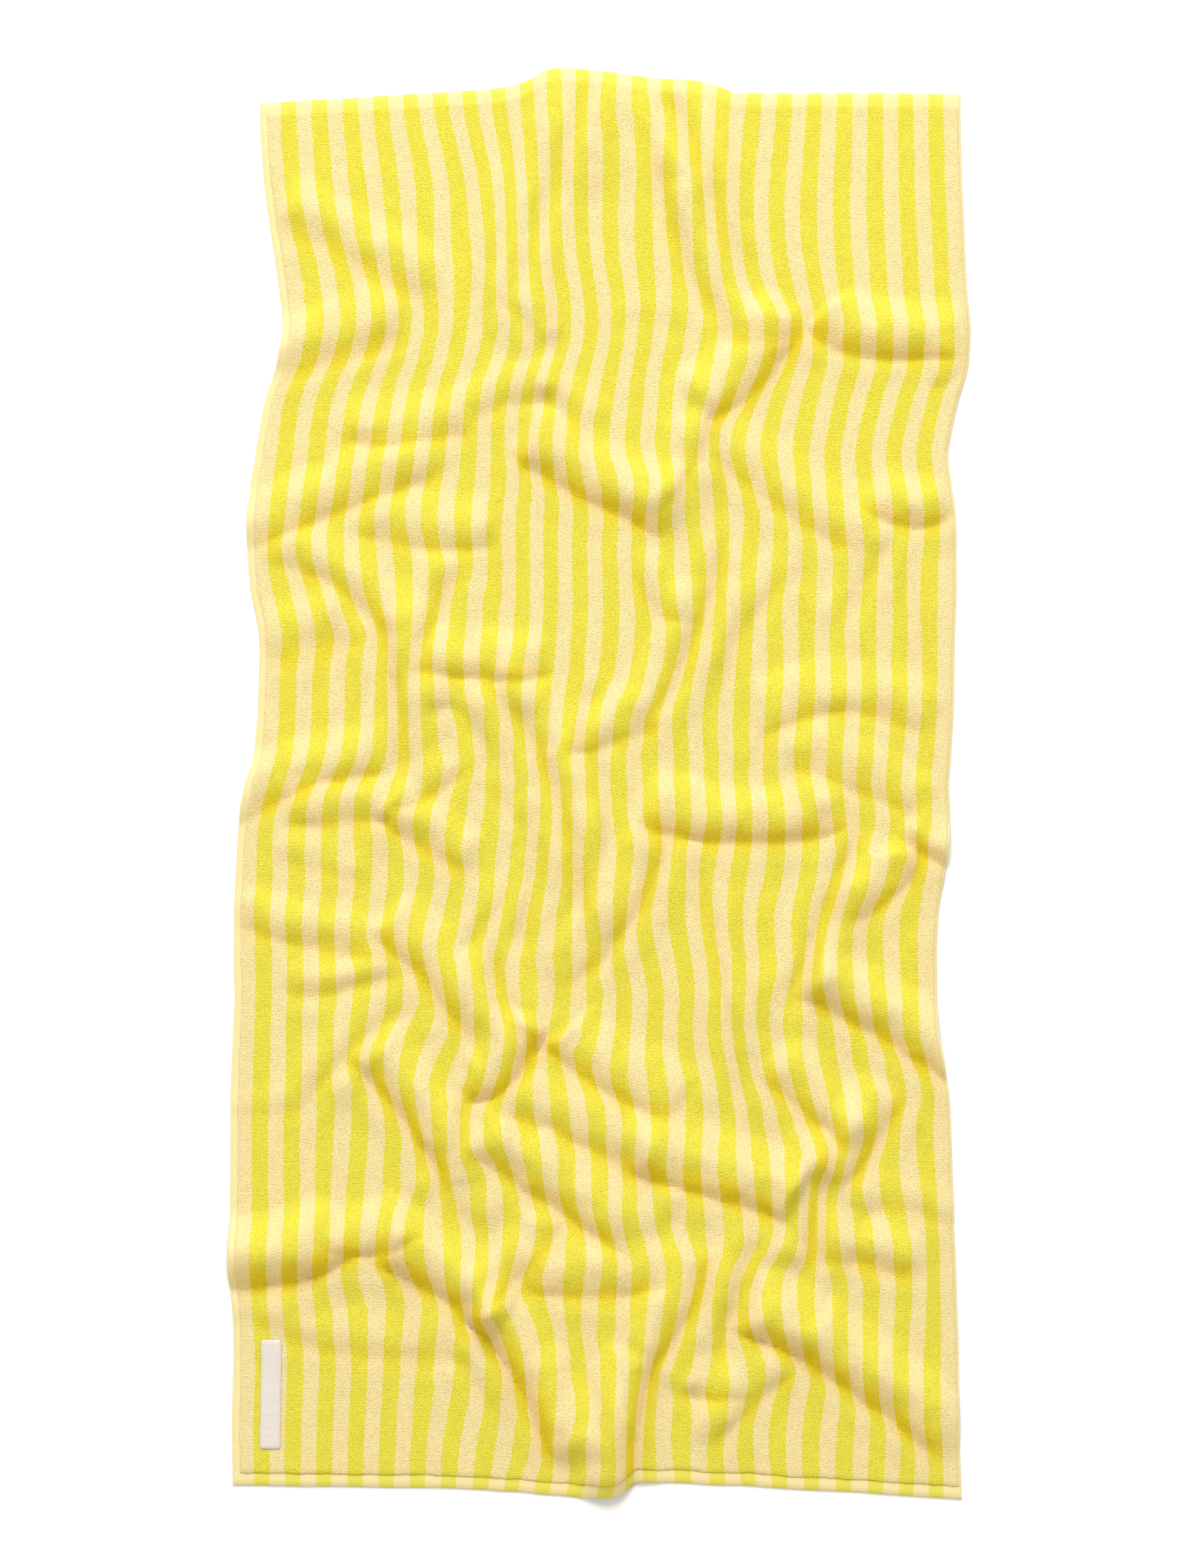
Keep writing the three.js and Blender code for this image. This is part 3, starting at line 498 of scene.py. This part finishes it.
def towel_mesh():
    nj, ni = XU.shape
    top = np.stack([XU, YU, ZT], -1).reshape(-1, 3)
    jj, ii = np.arange(0, nj, 2), np.arange(0, ni, 2)
    low = np.stack([XU, YU, Z0], -1)[np.ix_(jj, ii)].reshape(-1, 3)
    verts = np.concatenate([top, low]) / 1000.0
    nt = len(top); mi = len(ii); mj = len(jj)
    a = (np.arange(nj - 1)[:, None] * ni + np.arange(ni - 1)[None, :]).ravel()
    quads = np.stack([a, a + 1, a + 1 + ni, a + ni], -1)
    b = (np.arange(mj - 1)[:, None] * mi + np.arange(mi - 1)[None, :]).ravel() + nt
    qlow = np.stack([b, b + mi, b + 1 + mi, b + 1], -1)
    T = lambda i, j: j * ni + i
    Lw = lambda i, j: nt + (j // 2) * mi + i // 2
    tris = []
    for i in range(0, ni - 1, 2):
        tris += [(T(i, 0), Lw(i, 0), T(i + 1, 0)), (T(i + 1, 0), Lw(i, 0), Lw(i + 2, 0)), (T(i + 1, 0), Lw(i + 2, 0), T(i + 2, 0))]
        j = nj - 1
        tris += [(T(i + 1, j), Lw(i, j), T(i, j)), (Lw(i + 2, j), Lw(i, j), T(i + 1, j)), (T(i + 2, j), Lw(i + 2, j), T(i + 1, j))]
    for j in range(0, nj - 1, 2):
        tris += [(T(0, j + 1), Lw(0, j), T(0, j)), (Lw(0, j + 2), Lw(0, j), T(0, j + 1)), (T(0, j + 2), Lw(0, j + 2), T(0, j + 1))]
        i = ni - 1
        tris += [(T(i, j), Lw(i, j), T(i, j + 1)), (T(i, j + 1), Lw(i, j), Lw(i, j + 2)), (T(i, j + 1), Lw(i, j + 2), T(i, j + 2))]
    faces = [tuple(q) for q in quads.tolist()] + [tuple(q) for q in qlow.tolist()] + tris
    me = bpy.data.meshes.new("terry_towel")
    me.from_pydata(verts.tolist(), [], faces)
    cu = np.concatenate([CU.ravel(), CU[np.ix_(jj, ii)].ravel()]) / 1000
    cv = np.concatenate([CV.ravel(), CV[np.ix_(jj, ii)].ravel()]) / 1000
    # the third value carries the painted shade at the feet of folds; none on the underside
    side = np.concatenate([FOLD_FOOT_SHADE.ravel(), np.zeros(len(low))])
    at = me.attributes.new("cloth", "FLOAT_VECTOR", "POINT")
    at.data.foreach_set("vector", np.stack([cu, cv, side], -1).astype(np.float32).ravel())
    # one map for baking: upper side on the left half, underside on the right half
    uv = me.uv_layers.new(name="OFBake")
    li = np.empty(len(me.loops), np.int32); me.loops.foreach_get("vertex_index", li)
    lo = np.empty(len(me.polygons), np.int32); me.polygons.foreach_get("loop_start", lo)
    n_top, n_low = len(quads), len(qlow)
    poly_of = np.repeat(np.arange(len(me.polygons)), [4] * (n_top + n_low) + [3] * len(tris))
    half = np.where((poly_of >= n_top) & (poly_of < n_top + n_low), 1.0, 0.0)
    su = np.concatenate([SS.ravel() / ACROSS, SS[np.ix_(jj, ii)].ravel() / ACROSS])
    tv = np.concatenate([TT.ravel() / ALONG, TT[np.ix_(jj, ii)].ravel() / ALONG])
    u = 0.004 + su[li] * 0.488; v = 0.004 + tv[li] * 0.988
    u = np.where(half > 0.5, u + 0.5, u)
    uv.data.foreach_set("uv", np.stack([u, v], -1).astype(np.float32).ravel())
    me.polygons.foreach_set("use_smooth", np.ones(len(me.polygons), bool))
    me.validate(); me.update()
    return me


towel = bpy.data.objects.new("terry_towel", towel_mesh())
bpy.context.scene.collection.objects.link(towel)


# =============================== materials ===============================
class Nodes:
    """Short hand for a material's node tree."""
    def __init__(self, name):
        self.mat = bpy.data.materials.new(name); self.mat.use_nodes = True
        self.t = self.mat.node_tree; self.t.nodes.clear()
        self.out = self.t.nodes.new("ShaderNodeOutputMaterial")
        self.bsdf = self.t.nodes.new("ShaderNodeBsdfPrincipled")
        self.t.links.new(self.bsdf.outputs[0], self.out.inputs[0])

    def put(self, socket, v):
        if isinstance(v, (int, float)): socket.default_value = v
        elif isinstance(v, (tuple, list)): socket.default_value = v if len(v) == len(socket.default_value) else tuple(v) + (1.0,)
        else: self.t.links.new(v, socket)

    def math(self, op, a, b=0.0, c=None, clamp=False):
        n = self.t.nodes.new("ShaderNodeMath"); n.operation = op; n.use_clamp = clamp
        self.put(n.inputs[0], a); self.put(n.inputs[1], b)
        if c is not None: self.put(n.inputs[2], c)
        return n.outputs[0]

    def ramp(self, v, lo, hi, a=0.0, b=1.0, kind="SMOOTHSTEP"):
        n = self.t.nodes.new("ShaderNodeMapRange"); n.interpolation_type = kind; n.clamp = True if kind == "LINEAR" else n.clamp
        for s, x in zip(n.inputs[:5], (v, lo, hi, a, b)): self.put(s, x)
        return n.outputs[0]

    def mix(self, f, a, b, blend="MIX"):
        n = self.t.nodes.new("ShaderNodeMix"); n.data_type = "RGBA"; n.blend_type = blend
        self.put(n.inputs[0], f); self.put(n.inputs[6], a); self.put(n.inputs[7], b)
        return n.outputs[2]

    def mixf(self, f, a, b):
        n = self.t.nodes.new("ShaderNodeMix"); n.data_type = "FLOAT"
        self.put(n.inputs[0], f); self.put(n.inputs[2], a); self.put(n.inputs[3], b)
        return n.outputs[0]

    def xyz(self, v):
        n = self.t.nodes.new("ShaderNodeSeparateXYZ"); self.put(n.inputs[0], v); return n.outputs

    def vec(self, x, y, z=0.0):
        n = self.t.nodes.new("ShaderNodeCombineXYZ")
        for s, q in zip(n.inputs, (x, y, z)): self.put(s, q)
        return n.outputs[0]

    def noise(self, v, scale, detail=2.0, rough=0.5, dims="3D"):
        n = self.t.nodes.new("ShaderNodeTexNoise"); n.noise_dimensions = dims
        self.put(n.inputs["Vector"], v); n.inputs["Scale"].default_value = scale
        n.inputs["Detail"].default_value = detail; n.inputs["Roughness"].default_value = rough
        return n.outputs[0]

    def cells(self, v, scale, feature="F1", rand=1.0):
        n = self.t.nodes.new("ShaderNodeTexVoronoi"); n.feature = feature
        self.put(n.inputs["Vector"], v); n.inputs["Scale"].default_value = scale; n.inputs["Randomness"].default_value = rand
        return n.outputs

    def bump(self, height, distance, strength=1.0, normal=None):
        n = self.t.nodes.new("ShaderNodeBump")
        n.inputs["Strength"].default_value = strength; n.inputs["Distance"].default_value = distance
        self.put(n.inputs["Height"], height)
        if normal is not None: self.put(n.inputs["Normal"], normal)
        return n.outputs[0]

    def attribute(self, name):
        n = self.t.nodes.new("ShaderNodeAttribute"); n.attribute_name = name; return n.outputs["Vector"]


def srgb(r, g, b):
    f = lambda c: ((c / 255 + 0.055) / 1.055) ** 2.4 if c > 10 else c / 255 / 12.92
    return (f(r), f(g), f(b))


def terry_material():
    k = Nodes("striped_terry")
    at = k.attribute("cloth")
    x, y, fold_foot_shade = k.xyz(at)
    u, v = k.math("MULTIPLY", x, 1000.0), k.math("MULTIPLY", y, 1000.0)       # mm on the flat cloth
    q = k.vec(u, v)
    # margins
    dv = k.math("MINIMUM", v, k.math("SUBTRACT", FLAT_LONG, v))
    du = k.math("MINIMUM", u, k.math("SUBTRACT", FLAT_WIDE + SELVEDGE_LESS, u))
    wander = k.math("MULTIPLY", k.math("SUBTRACT", k.noise(q, 0.28, 3.0, 0.6), 0.5), 1.6)
    hem = k.ramp(k.math("ADD", dv, wander), HEM_WIDE - 0.1, HEM_WIDE + 0.5, 1.0, 0.0)
    selv = k.ramp(k.math("ADD", du, wander), SELVEDGE_WIDE - 0.1, SELVEDGE_WIDE + 0.5, 1.0, 0.0)
    flat = k.math("MAXIMUM", hem, selv)
    pile = k.math("SUBTRACT", 1.0, flat)
    # stripes: their edges step from loop to loop
    jag = k.math("MULTIPLY", k.math("SUBTRACT", k.noise(q, 0.42, 2.0, 0.65), 0.5), 2.4)
    jag2 = k.math("MULTIPLY", k.math("SUBTRACT", k.noise(k.vec(k.math("MULTIPLY", u, 0.4), v), 0.09, 2.0, 0.5), 0.5), 2.2)
    jag = k.math("ADD", jag, jag2)
    us = k.math("ADD", u, k.math("MULTIPLY", jag, k.math("ADD", k.math("MULTIPLY", pile, 0.85), 0.15)))
    middle = STRIPE_FIRST + STRIPE_WIDE / 2
    ph = k.math("DIVIDE", k.math("SUBTRACT", us, middle), STRIPE_PITCH)
    tri = k.math("ABSOLUTE", k.math("SUBTRACT", k.math("FRACT", k.math("ADD", ph, 0.5)), 0.5))
    half = k.mixf(hem, STRIPE_WIDE / 2 / STRIPE_PITCH, STRIPE_WIDE_HEM / 2 / STRIPE_PITCH)
    d = k.math("MULTIPLY", k.math("SUBTRACT", tri, half), STRIPE_PITCH)
    soft = k.mixf(hem, 0.55, 0.3)
    yellow = k.ramp(k.math("DIVIDE", d, soft), -1.0, 1.0, 1.0, 0.0)
    keep = k.math("MULTIPLY", k.ramp(u, FLAT_WIDE - 12, FLAT_WIDE - 10.5, 1.0, 0.0), k.ramp(u, 9.0, 10.5, 0.0, 1.0))
    yellow = k.math("MULTIPLY", yellow, keep)
    # loops: rows of them across, each a small bead, with painted shade between them
    rows = k.math("MULTIPLY", k.math("SUBTRACT", k.noise(q, 0.35, 2.0, 0.5), 0.5), 1.3)
    bead = k.cells(k.vec(u, k.math("MULTIPLY", k.math("ADD", v, rows), 1.0)), 0.95)
    dist = bead["Distance"]
    bead2 = k.cells(q, 0.45)["Distance"]
    rib = k.math("SINE", k.math("MULTIPLY", k.math("ADD", v, rows), 2 * math.pi / 1.45))
    gap = k.ramp(dist, 0.35, 0.95)                      # 0 on a loop's crown, 1 between loops
    fleck = k.ramp(k.noise(q, 1.3, 3.0, 0.75), 0.30, 0.72)
    broad = k.noise(q, 0.035, 3.0, 0.55)
    cream, gold = (0.855, 0.728, 0.36), (0.765, 0.70, 0.077)
    # darker colours: painted shade between the loops, random darker tone, and the weave pattern of the hems
    cream_low, gold_low = (0.60, 0.42, 0.15), (0.54, 0.42, 0.016)
    cream_hem, gold_hem = (0.80, 0.69, 0.345), (0.72, 0.66, 0.10)
    # painted shade between the loops, made uneven by noise
    shade = k.math("MULTIPLY", gap, k.math("ADD", 0.35, k.math("MULTIPLY", fleck, 0.65)))
    high = k.mix(yellow, cream, gold); low = k.mix(yellow, cream_low, gold_low)
    piled = k.mix(k.math("MULTIPLY", shade, 0.75), high, low)
    piled = k.mix(k.ramp(broad, 0.35, 0.7, 0.0, 0.10), piled, low)
    # painted shade at the feet of folds: the colour is multiplied darker and warmer there
    piled = k.mix(k.math("MULTIPLY", fold_foot_shade, 0.8), piled, k.mix(1.0, piled, k.mix(yellow, (1.06, 0.95, 0.82, 1.0), (1.06, 0.87, 0.25, 1.0)), "MULTIPLY"))
    weave = k.math("MULTIPLY", k.math("ADD", k.math("SINE", k.math("MULTIPLY", u, 2 * math.pi / 0.9)), k.math("SINE", k.math("MULTIPLY", v, 2 * math.pi / 0.7))), 0.25)
    woven = k.mix(yellow, cream_hem, gold_hem)
    woven = k.mix(k.math("MULTIPLY", k.math("ADD", weave, 0.5), 0.10), woven, low)
    # a thin uneven line of shade and thread where the loops end
    near_v = k.math("ABSOLUTE", k.math("SUBTRACT", k.math("ADD", dv, wander), HEM_WIDE + 0.25))
    near_u = k.math("ABSOLUTE", k.math("SUBTRACT", k.math("ADD", du, k.math("MULTIPLY", wander, 0.5)), SELVEDGE_WIDE + 0.2))
    line = k.math("MULTIPLY", k.ramp(near_v, 0.15, 0.95, 1.0, 0.0), k.ramp(k.noise(q, 0.16, 3.0, 0.6), 0.35, 0.62, 0.25, 0.95))
    dots = k.ramp(k.math("SINE", k.math("MULTIPLY", v, 2 * math.pi / 2.9)), -0.1, 0.5)
    line_u = k.math("MULTIPLY", k.math("MULTIPLY", k.ramp(near_u, 0.1, 0.6, 1.0, 0.0), dots), k.ramp(k.noise(q, 0.12, 2.0, 0.5), 0.35, 0.6, 0.1, 0.6))
    inner = k.math("MULTIPLY", k.ramp(du, SELVEDGE_WIDE - 1, SELVEDGE_WIDE), k.ramp(dv, HEM_WIDE - 1, HEM_WIDE))
    seam = k.math("MULTIPLY", k.math("MAXIMUM", line, line_u), inner)
    colour = k.mix(flat, piled, woven)
    colour = k.mix(k.math("MULTIPLY", seam, 0.50), colour, k.mix(yellow, (0.40, 0.25, 0.07), (0.36, 0.24, 0.010)))
    k.put(k.bsdf.inputs["Base Color"], colour)
    k.bsdf.inputs["Roughness"].default_value = 0.95
    k.bsdf.inputs["Specular IOR Level"].default_value = 0.03
    loop_h = k.math("ADD", k.math("MULTIPLY", k.math("SUBTRACT", 1.0, gap), 0.75), k.math("MULTIPLY", k.math("SUBTRACT", 1.0, bead2), 0.3))
    loop_h = k.math("ADD", loop_h, k.math("ADD", k.math("MULTIPLY", rib, 0.16), k.math("MULTIPLY", fleck, 0.35)))
    h = k.mixf(flat, loop_h, k.math("MULTIPLY", weave, 0.30))
    k.put(k.bsdf.inputs["Normal"], k.bump(h, 0.0012, 0.6))
    return k.mat


towel.data.materials.append(terry_material())

# =============================== the label ===============================
def ground_grid(x0, x1, y0, y1, step=1.0):
    xs, ys = np.arange(x0, x1 + step, step), np.arange(y0, y1 + step, step)
    X, Y = np.meshgrid(xs, ys)
    Z = settled(X + MID[0], Y + MID[1]) + PILE_THICK
    Z = np.maximum.reduce([np.roll(np.roll(Z, i, 0), j, 1) for i in (-3, 0, 3) for j in (-3, 0, 3)])

    def at(x, y):
        fx, fy = (np.asarray(x, float) - x0) / step, (np.asarray(y, float) - y0) / step
        i, j = np.clip(fx.astype(int), 0, len(xs) - 2), np.clip(fy.astype(int), 0, len(ys) - 2)
        a, b = fx - i, fy - j
        return (Z[j, i] * (1 - a) + Z[j, i + 1] * a) * (1 - b) + (Z[j + 1, i] * (1 - a) + Z[j + 1, i + 1] * a) * b
    return at


def label_parts():
    lx, ly = LABEL_AT[0] - MID[0], LABEL_AT[1] - MID[1]
    ground = ground_grid(lx - 22, lx + 22, ly - 62, ly + 62)
    nu, nv = 29, 121
    a = np.linspace(-1, 1, nu); b = np.linspace(-1, 1, nv)
    A, B = np.meshgrid(a, b)
    u, v = A * LABEL_WIDE / 2, B * LABEL_LONG / 2
    # rounded corners: pull the grid in near them
    hu, hv, r = LABEL_WIDE / 2, LABEL_LONG / 2, LABEL_CORNER
    ex, ey = np.abs(u) - (hu - r), np.abs(v) - (hv - r)
    inside = (ex > 0) & (ey > 0)
    k = np.where(inside, np.maximum(ex, ey) / np.maximum(np.hypot(ex, ey), 1e-6), 1.0)
    u = np.where(inside, np.sign(u) * ((hu - r) + ex * k), u); v = np.where(inside, np.sign(v) * ((hv - r) + ey * k), v)
    # the long sides pull in a little between their stitches, and the patch leans as the towel does
    u = u + 0.25 * noise(v, 0 * v + 9, 14, 21) * np.abs(A) + 0.35 * np.sin(v / 55)
    edge = np.minimum(hu - np.abs(A * hu), hv - np.abs(B * hv))
    pad = smooth(edge / 2.0) ** 0.8
    pucker = 0.10 * noise(v, u * 0.25, 3.1, 22) + 0.07 * noise(v * 1.0, u * 0.2, 6.5, 23)
    seam = np.exp(-((edge - 1.6) / 0.5) ** 2)
    x, y = lx + u, ly + v
    base = ground(x, y) + 0.35
    z = base + 0.35 + (LABEL_THICK - 0.35) * pad + pucker * pad - 0.35 * seam
    n = nu * nv
    verts = np.concatenate([np.stack([x, y, z], -1).reshape(-1, 3), np.stack([x, y, base], -1).reshape(-1, 3)]) / 1000
    q = (np.arange(nv - 1)[:, None] * nu + np.arange(nu - 1)[None, :]).ravel()
    faces = np.stack([q, q + 1, q + 1 + nu, q + nu], -1).tolist() + (np.stack([q, q + nu, q + 1 + nu, q + 1], -1) + n).tolist()
    ring = [i for i in range(nu)] + [j * nu + nu - 1 for j in range(1, nv)] + [(nv - 1) * nu + i for i in range(nu - 2, -1, -1)] + [j * nu for j in range(nv - 2, 0, -1)]
    for p, w in zip(ring, ring[1:] + ring[:1]):
        faces.append([p, p + n, w + n, w])
    me = bpy.data.meshes.new("label_patch"); me.from_pydata(verts.tolist(), [], faces)
    at = me.attributes.new("cloth", "FLOAT_VECTOR", "POINT")
    at.data.foreach_set("vector", np.tile(np.stack([u, v, edge], -1).reshape(-1, 3) / 1000, (2, 1)).astype(np.float32).ravel())
    me.polygons.foreach_set("use_smooth", np.ones(len(me.polygons), bool))
    me.validate(); me.update()
    patch = bpy.data.objects.new("label_patch", me); bpy.context.scene.collection.objects.link(patch)

    # stitches all round, a little inside the edge
    from_i = lambda uu, vv: (lx + uu + 0.25 * noise(vv, 0 * vv + 9, 14, 21) * abs(uu) / hu + 0.35 * np.sin(vv / 55), ly + vv)
    inset, long, pitch, rad = 1.6, 2.3, 3.0, 0.22
    path = []
    w2, l2 = hu - inset, hv - inset
    for (x0, y0, x1, y1) in ((-w2, -l2, w2, -l2), (w2, -l2, w2, l2), (w2, l2, -w2, l2), (-w2, l2, -w2, -l2)):
        m = max(1, int(round(math.hypot(x1 - x0, y1 - y0) / pitch)))
        for i in range(m):
            f0 = (i + 0.5 - long / pitch / 2) / m; f1 = (i + 0.5 + long / pitch / 2) / m
            path.append((x0 + (x1 - x0) * f0, y0 + (y1 - y0) * f0, x0 + (x1 - x0) * f1, y0 + (y1 - y0) * f1))
    vs, fs = [], []
    for (x0, y0, x1, y1) in path:
        L = 6; ring0 = len(vs)
        dxn, dyn = x1 - x0, y1 - y0; ln = math.hypot(dxn, dyn); nx_, ny_ = -dyn / ln, dxn / ln
        for s in range(L + 1):
            f = s / L
            X, Y = from_i(np.float64(x0 + dxn * f), np.float64(y0 + dyn * f))
            zc = float(ground(X, Y)) + 0.35 + 0.35 + (LABEL_THICK - 0.35) * 0.86 - 0.35
            lift_ = 0.16 * math.sin(math.pi * f); rr = rad * (0.35 + 0.65 * math.sin(math.pi * min(max(f, 0.08), 0.92)) ** 0.5)
            for a6 in range(6):
                th = a6 * math.pi / 3
                vs.append(((X + nx_ * rr * math.cos(th)) / 1000, (Y + ny_ * rr * math.cos(th)) / 1000, (zc + lift_ + rr * math.sin(th)) / 1000))
        for s in range(L):
            for a6 in range(6):
                p0 = ring0 + s * 6 + a6; p1 = ring0 + s * 6 + (a6 + 1) % 6
                fs.append((p0, p0 + 6, p1 + 6, p1))
        fs.append(tuple(ring0 + i for i in range(6))); fs.append(tuple(ring0 + L * 6 + i for i in range(5, -1, -1)))
    me2 = bpy.data.meshes.new("label_stitches"); me2.from_pydata(vs, [], fs)
    me2.polygons.foreach_set("use_smooth", np.ones(len(me2.polygons), bool)); me2.validate(); me2.update()
    st = bpy.data.objects.new("label_stitches", me2); bpy.context.scene.collection.objects.link(st)
    return patch, st


def label_material():
    k = Nodes("label_weave")
    u, v, e = k.xyz(k.attribute("cloth"))
    u, v, e = (k.math("MULTIPLY", s, 1000.0) for s in (u, v, e))
    q = k.vec(u, v)
    wv = k.math("SINE", k.math("MULTIPLY", v, 2 * math.pi / 0.42)); wu = k.math("SINE", k.math("MULTIPLY", u, 2 * math.pi / 0.5))
    weave = k.math("MULTIPLY", wv, wu)
    grain = k.noise(k.vec(k.math("MULTIPLY", u, 0.5), v), 1.4, 3.0, 0.6)
    base = k.mix(k.ramp(grain, 0.3, 0.75), srgb(*(226, 216, 208)), srgb(*(206, 197, 189)))
    # painted shade towards the label's edge, where the padded edge falls to the stitches
    base = k.mix(k.ramp(e, 0.0, 0.9, 0.35, 0.0), base, srgb(196, 186, 176))
    k.put(k.bsdf.inputs["Base Color"], base)
    k.bsdf.inputs["Roughness"].default_value = 0.8
    k.bsdf.inputs["Specular IOR Level"].default_value = 0.2
    k.put(k.bsdf.inputs["Normal"], k.bump(k.math("ADD", k.math("MULTIPLY", weave, 0.5), grain), 0.00022, 0.5))
    return k.mat


def thread_material(name, colour):
    k = Nodes(name)
    tc = k.t.nodes.new("ShaderNodeTexCoord")
    g = k.noise(tc.outputs["Object"], 2500.0, 2.0, 0.5)
    k.put(k.bsdf.inputs["Base Color"], k.mix(k.ramp(g, 0.3, 0.7), srgb(*colour), srgb(*[c * 0.88 for c in colour])))
    k.bsdf.inputs["Roughness"].default_value = 0.7
    k.put(k.bsdf.inputs["Normal"], k.bump(g, 0.0002, 0.4))
    return k.mat


patch, stitches = label_parts()
patch.data.materials.append(label_material())
stitches.data.materials.append(thread_material("label_thread", (226, 220, 214)))

# =============================== what rides on what ===============================
for o in (towel, patch, stitches):
    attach(o, "root")
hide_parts("towel")
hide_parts("label")

# =============================== camera, floor and light ===============================
CAM_DIST, CAM_TILT, MM_PER_PX = 3.0, math.radians(2.94), 0.6538
cam = bpy.data.cameras.new("camera"); cam_o = bpy.data.objects.new("camera", cam)
bpy.context.scene.collection.objects.link(cam_o)
cam.sensor_fit = "AUTO"; cam.sensor_width = 36.0
cam.lens = 36.0 * (CAM_DIST * 1000 / MM_PER_PX) / 2197.0
aim = Vector((-MID[0] / 1000, -MID[1] / 1000, 0.0))
cam_o.location = aim + Vector((0, -CAM_DIST * math.sin(CAM_TILT), CAM_DIST * math.cos(CAM_TILT)))
cam_o.rotation_euler = (CAM_TILT, 0, 0)
cam.clip_end = 50
bpy.context.scene.camera = cam_o

me = bpy.data.meshes.new("floor"); R = 6.0
me.from_pydata([(-R, -R, -0.0003), (R, -R, -0.0003), (R, R, -0.0003), (-R, R, -0.0003)], [], [(0, 1, 2, 3)])
floor = bpy.data.objects.new("floor", me); bpy.context.scene.collection.objects.link(floor)
fm = Nodes("floor_white"); fm.bsdf.inputs["Base Color"].default_value = (0.88, 0.88, 0.88, 1); fm.bsdf.inputs["Roughness"].default_value = 1.0
fm.bsdf.inputs["Specular IOR Level"].default_value = 0.0
me.materials.append(fm.mat)

world = bpy.data.worlds.new("studio"); bpy.context.scene.world = world; world.use_nodes = True
bg = world.node_tree.nodes["Background"]; bg.inputs[0].default_value = (1.0, 0.95, 0.86, 1); bg.inputs[1].default_value = 0.83


def area(name, loc, target, size, watts):
    l = bpy.data.lights.new(name, "AREA"); l.shape = "RECTANGLE"; l.size, l.size_y = size; l.energy = watts; l.color = (0.98, 1.0, 1.05)
    o = bpy.data.objects.new(name, l); bpy.context.scene.collection.objects.link(o)
    o.location = loc
    o.rotation_euler = (Vector(target) - Vector(loc)).to_track_quat("-Z", "Y").to_euler()
    return o


area("north", (-0.55, 5.5, 4.8), (0, 0, 0), (3.3, 3.3), 530.0)

sc = bpy.context.scene
sc.view_settings.view_transform = "Standard"; sc.view_settings.look = "None"
sc.view_settings.exposure = 0.0; sc.view_settings.gamma = 1.0
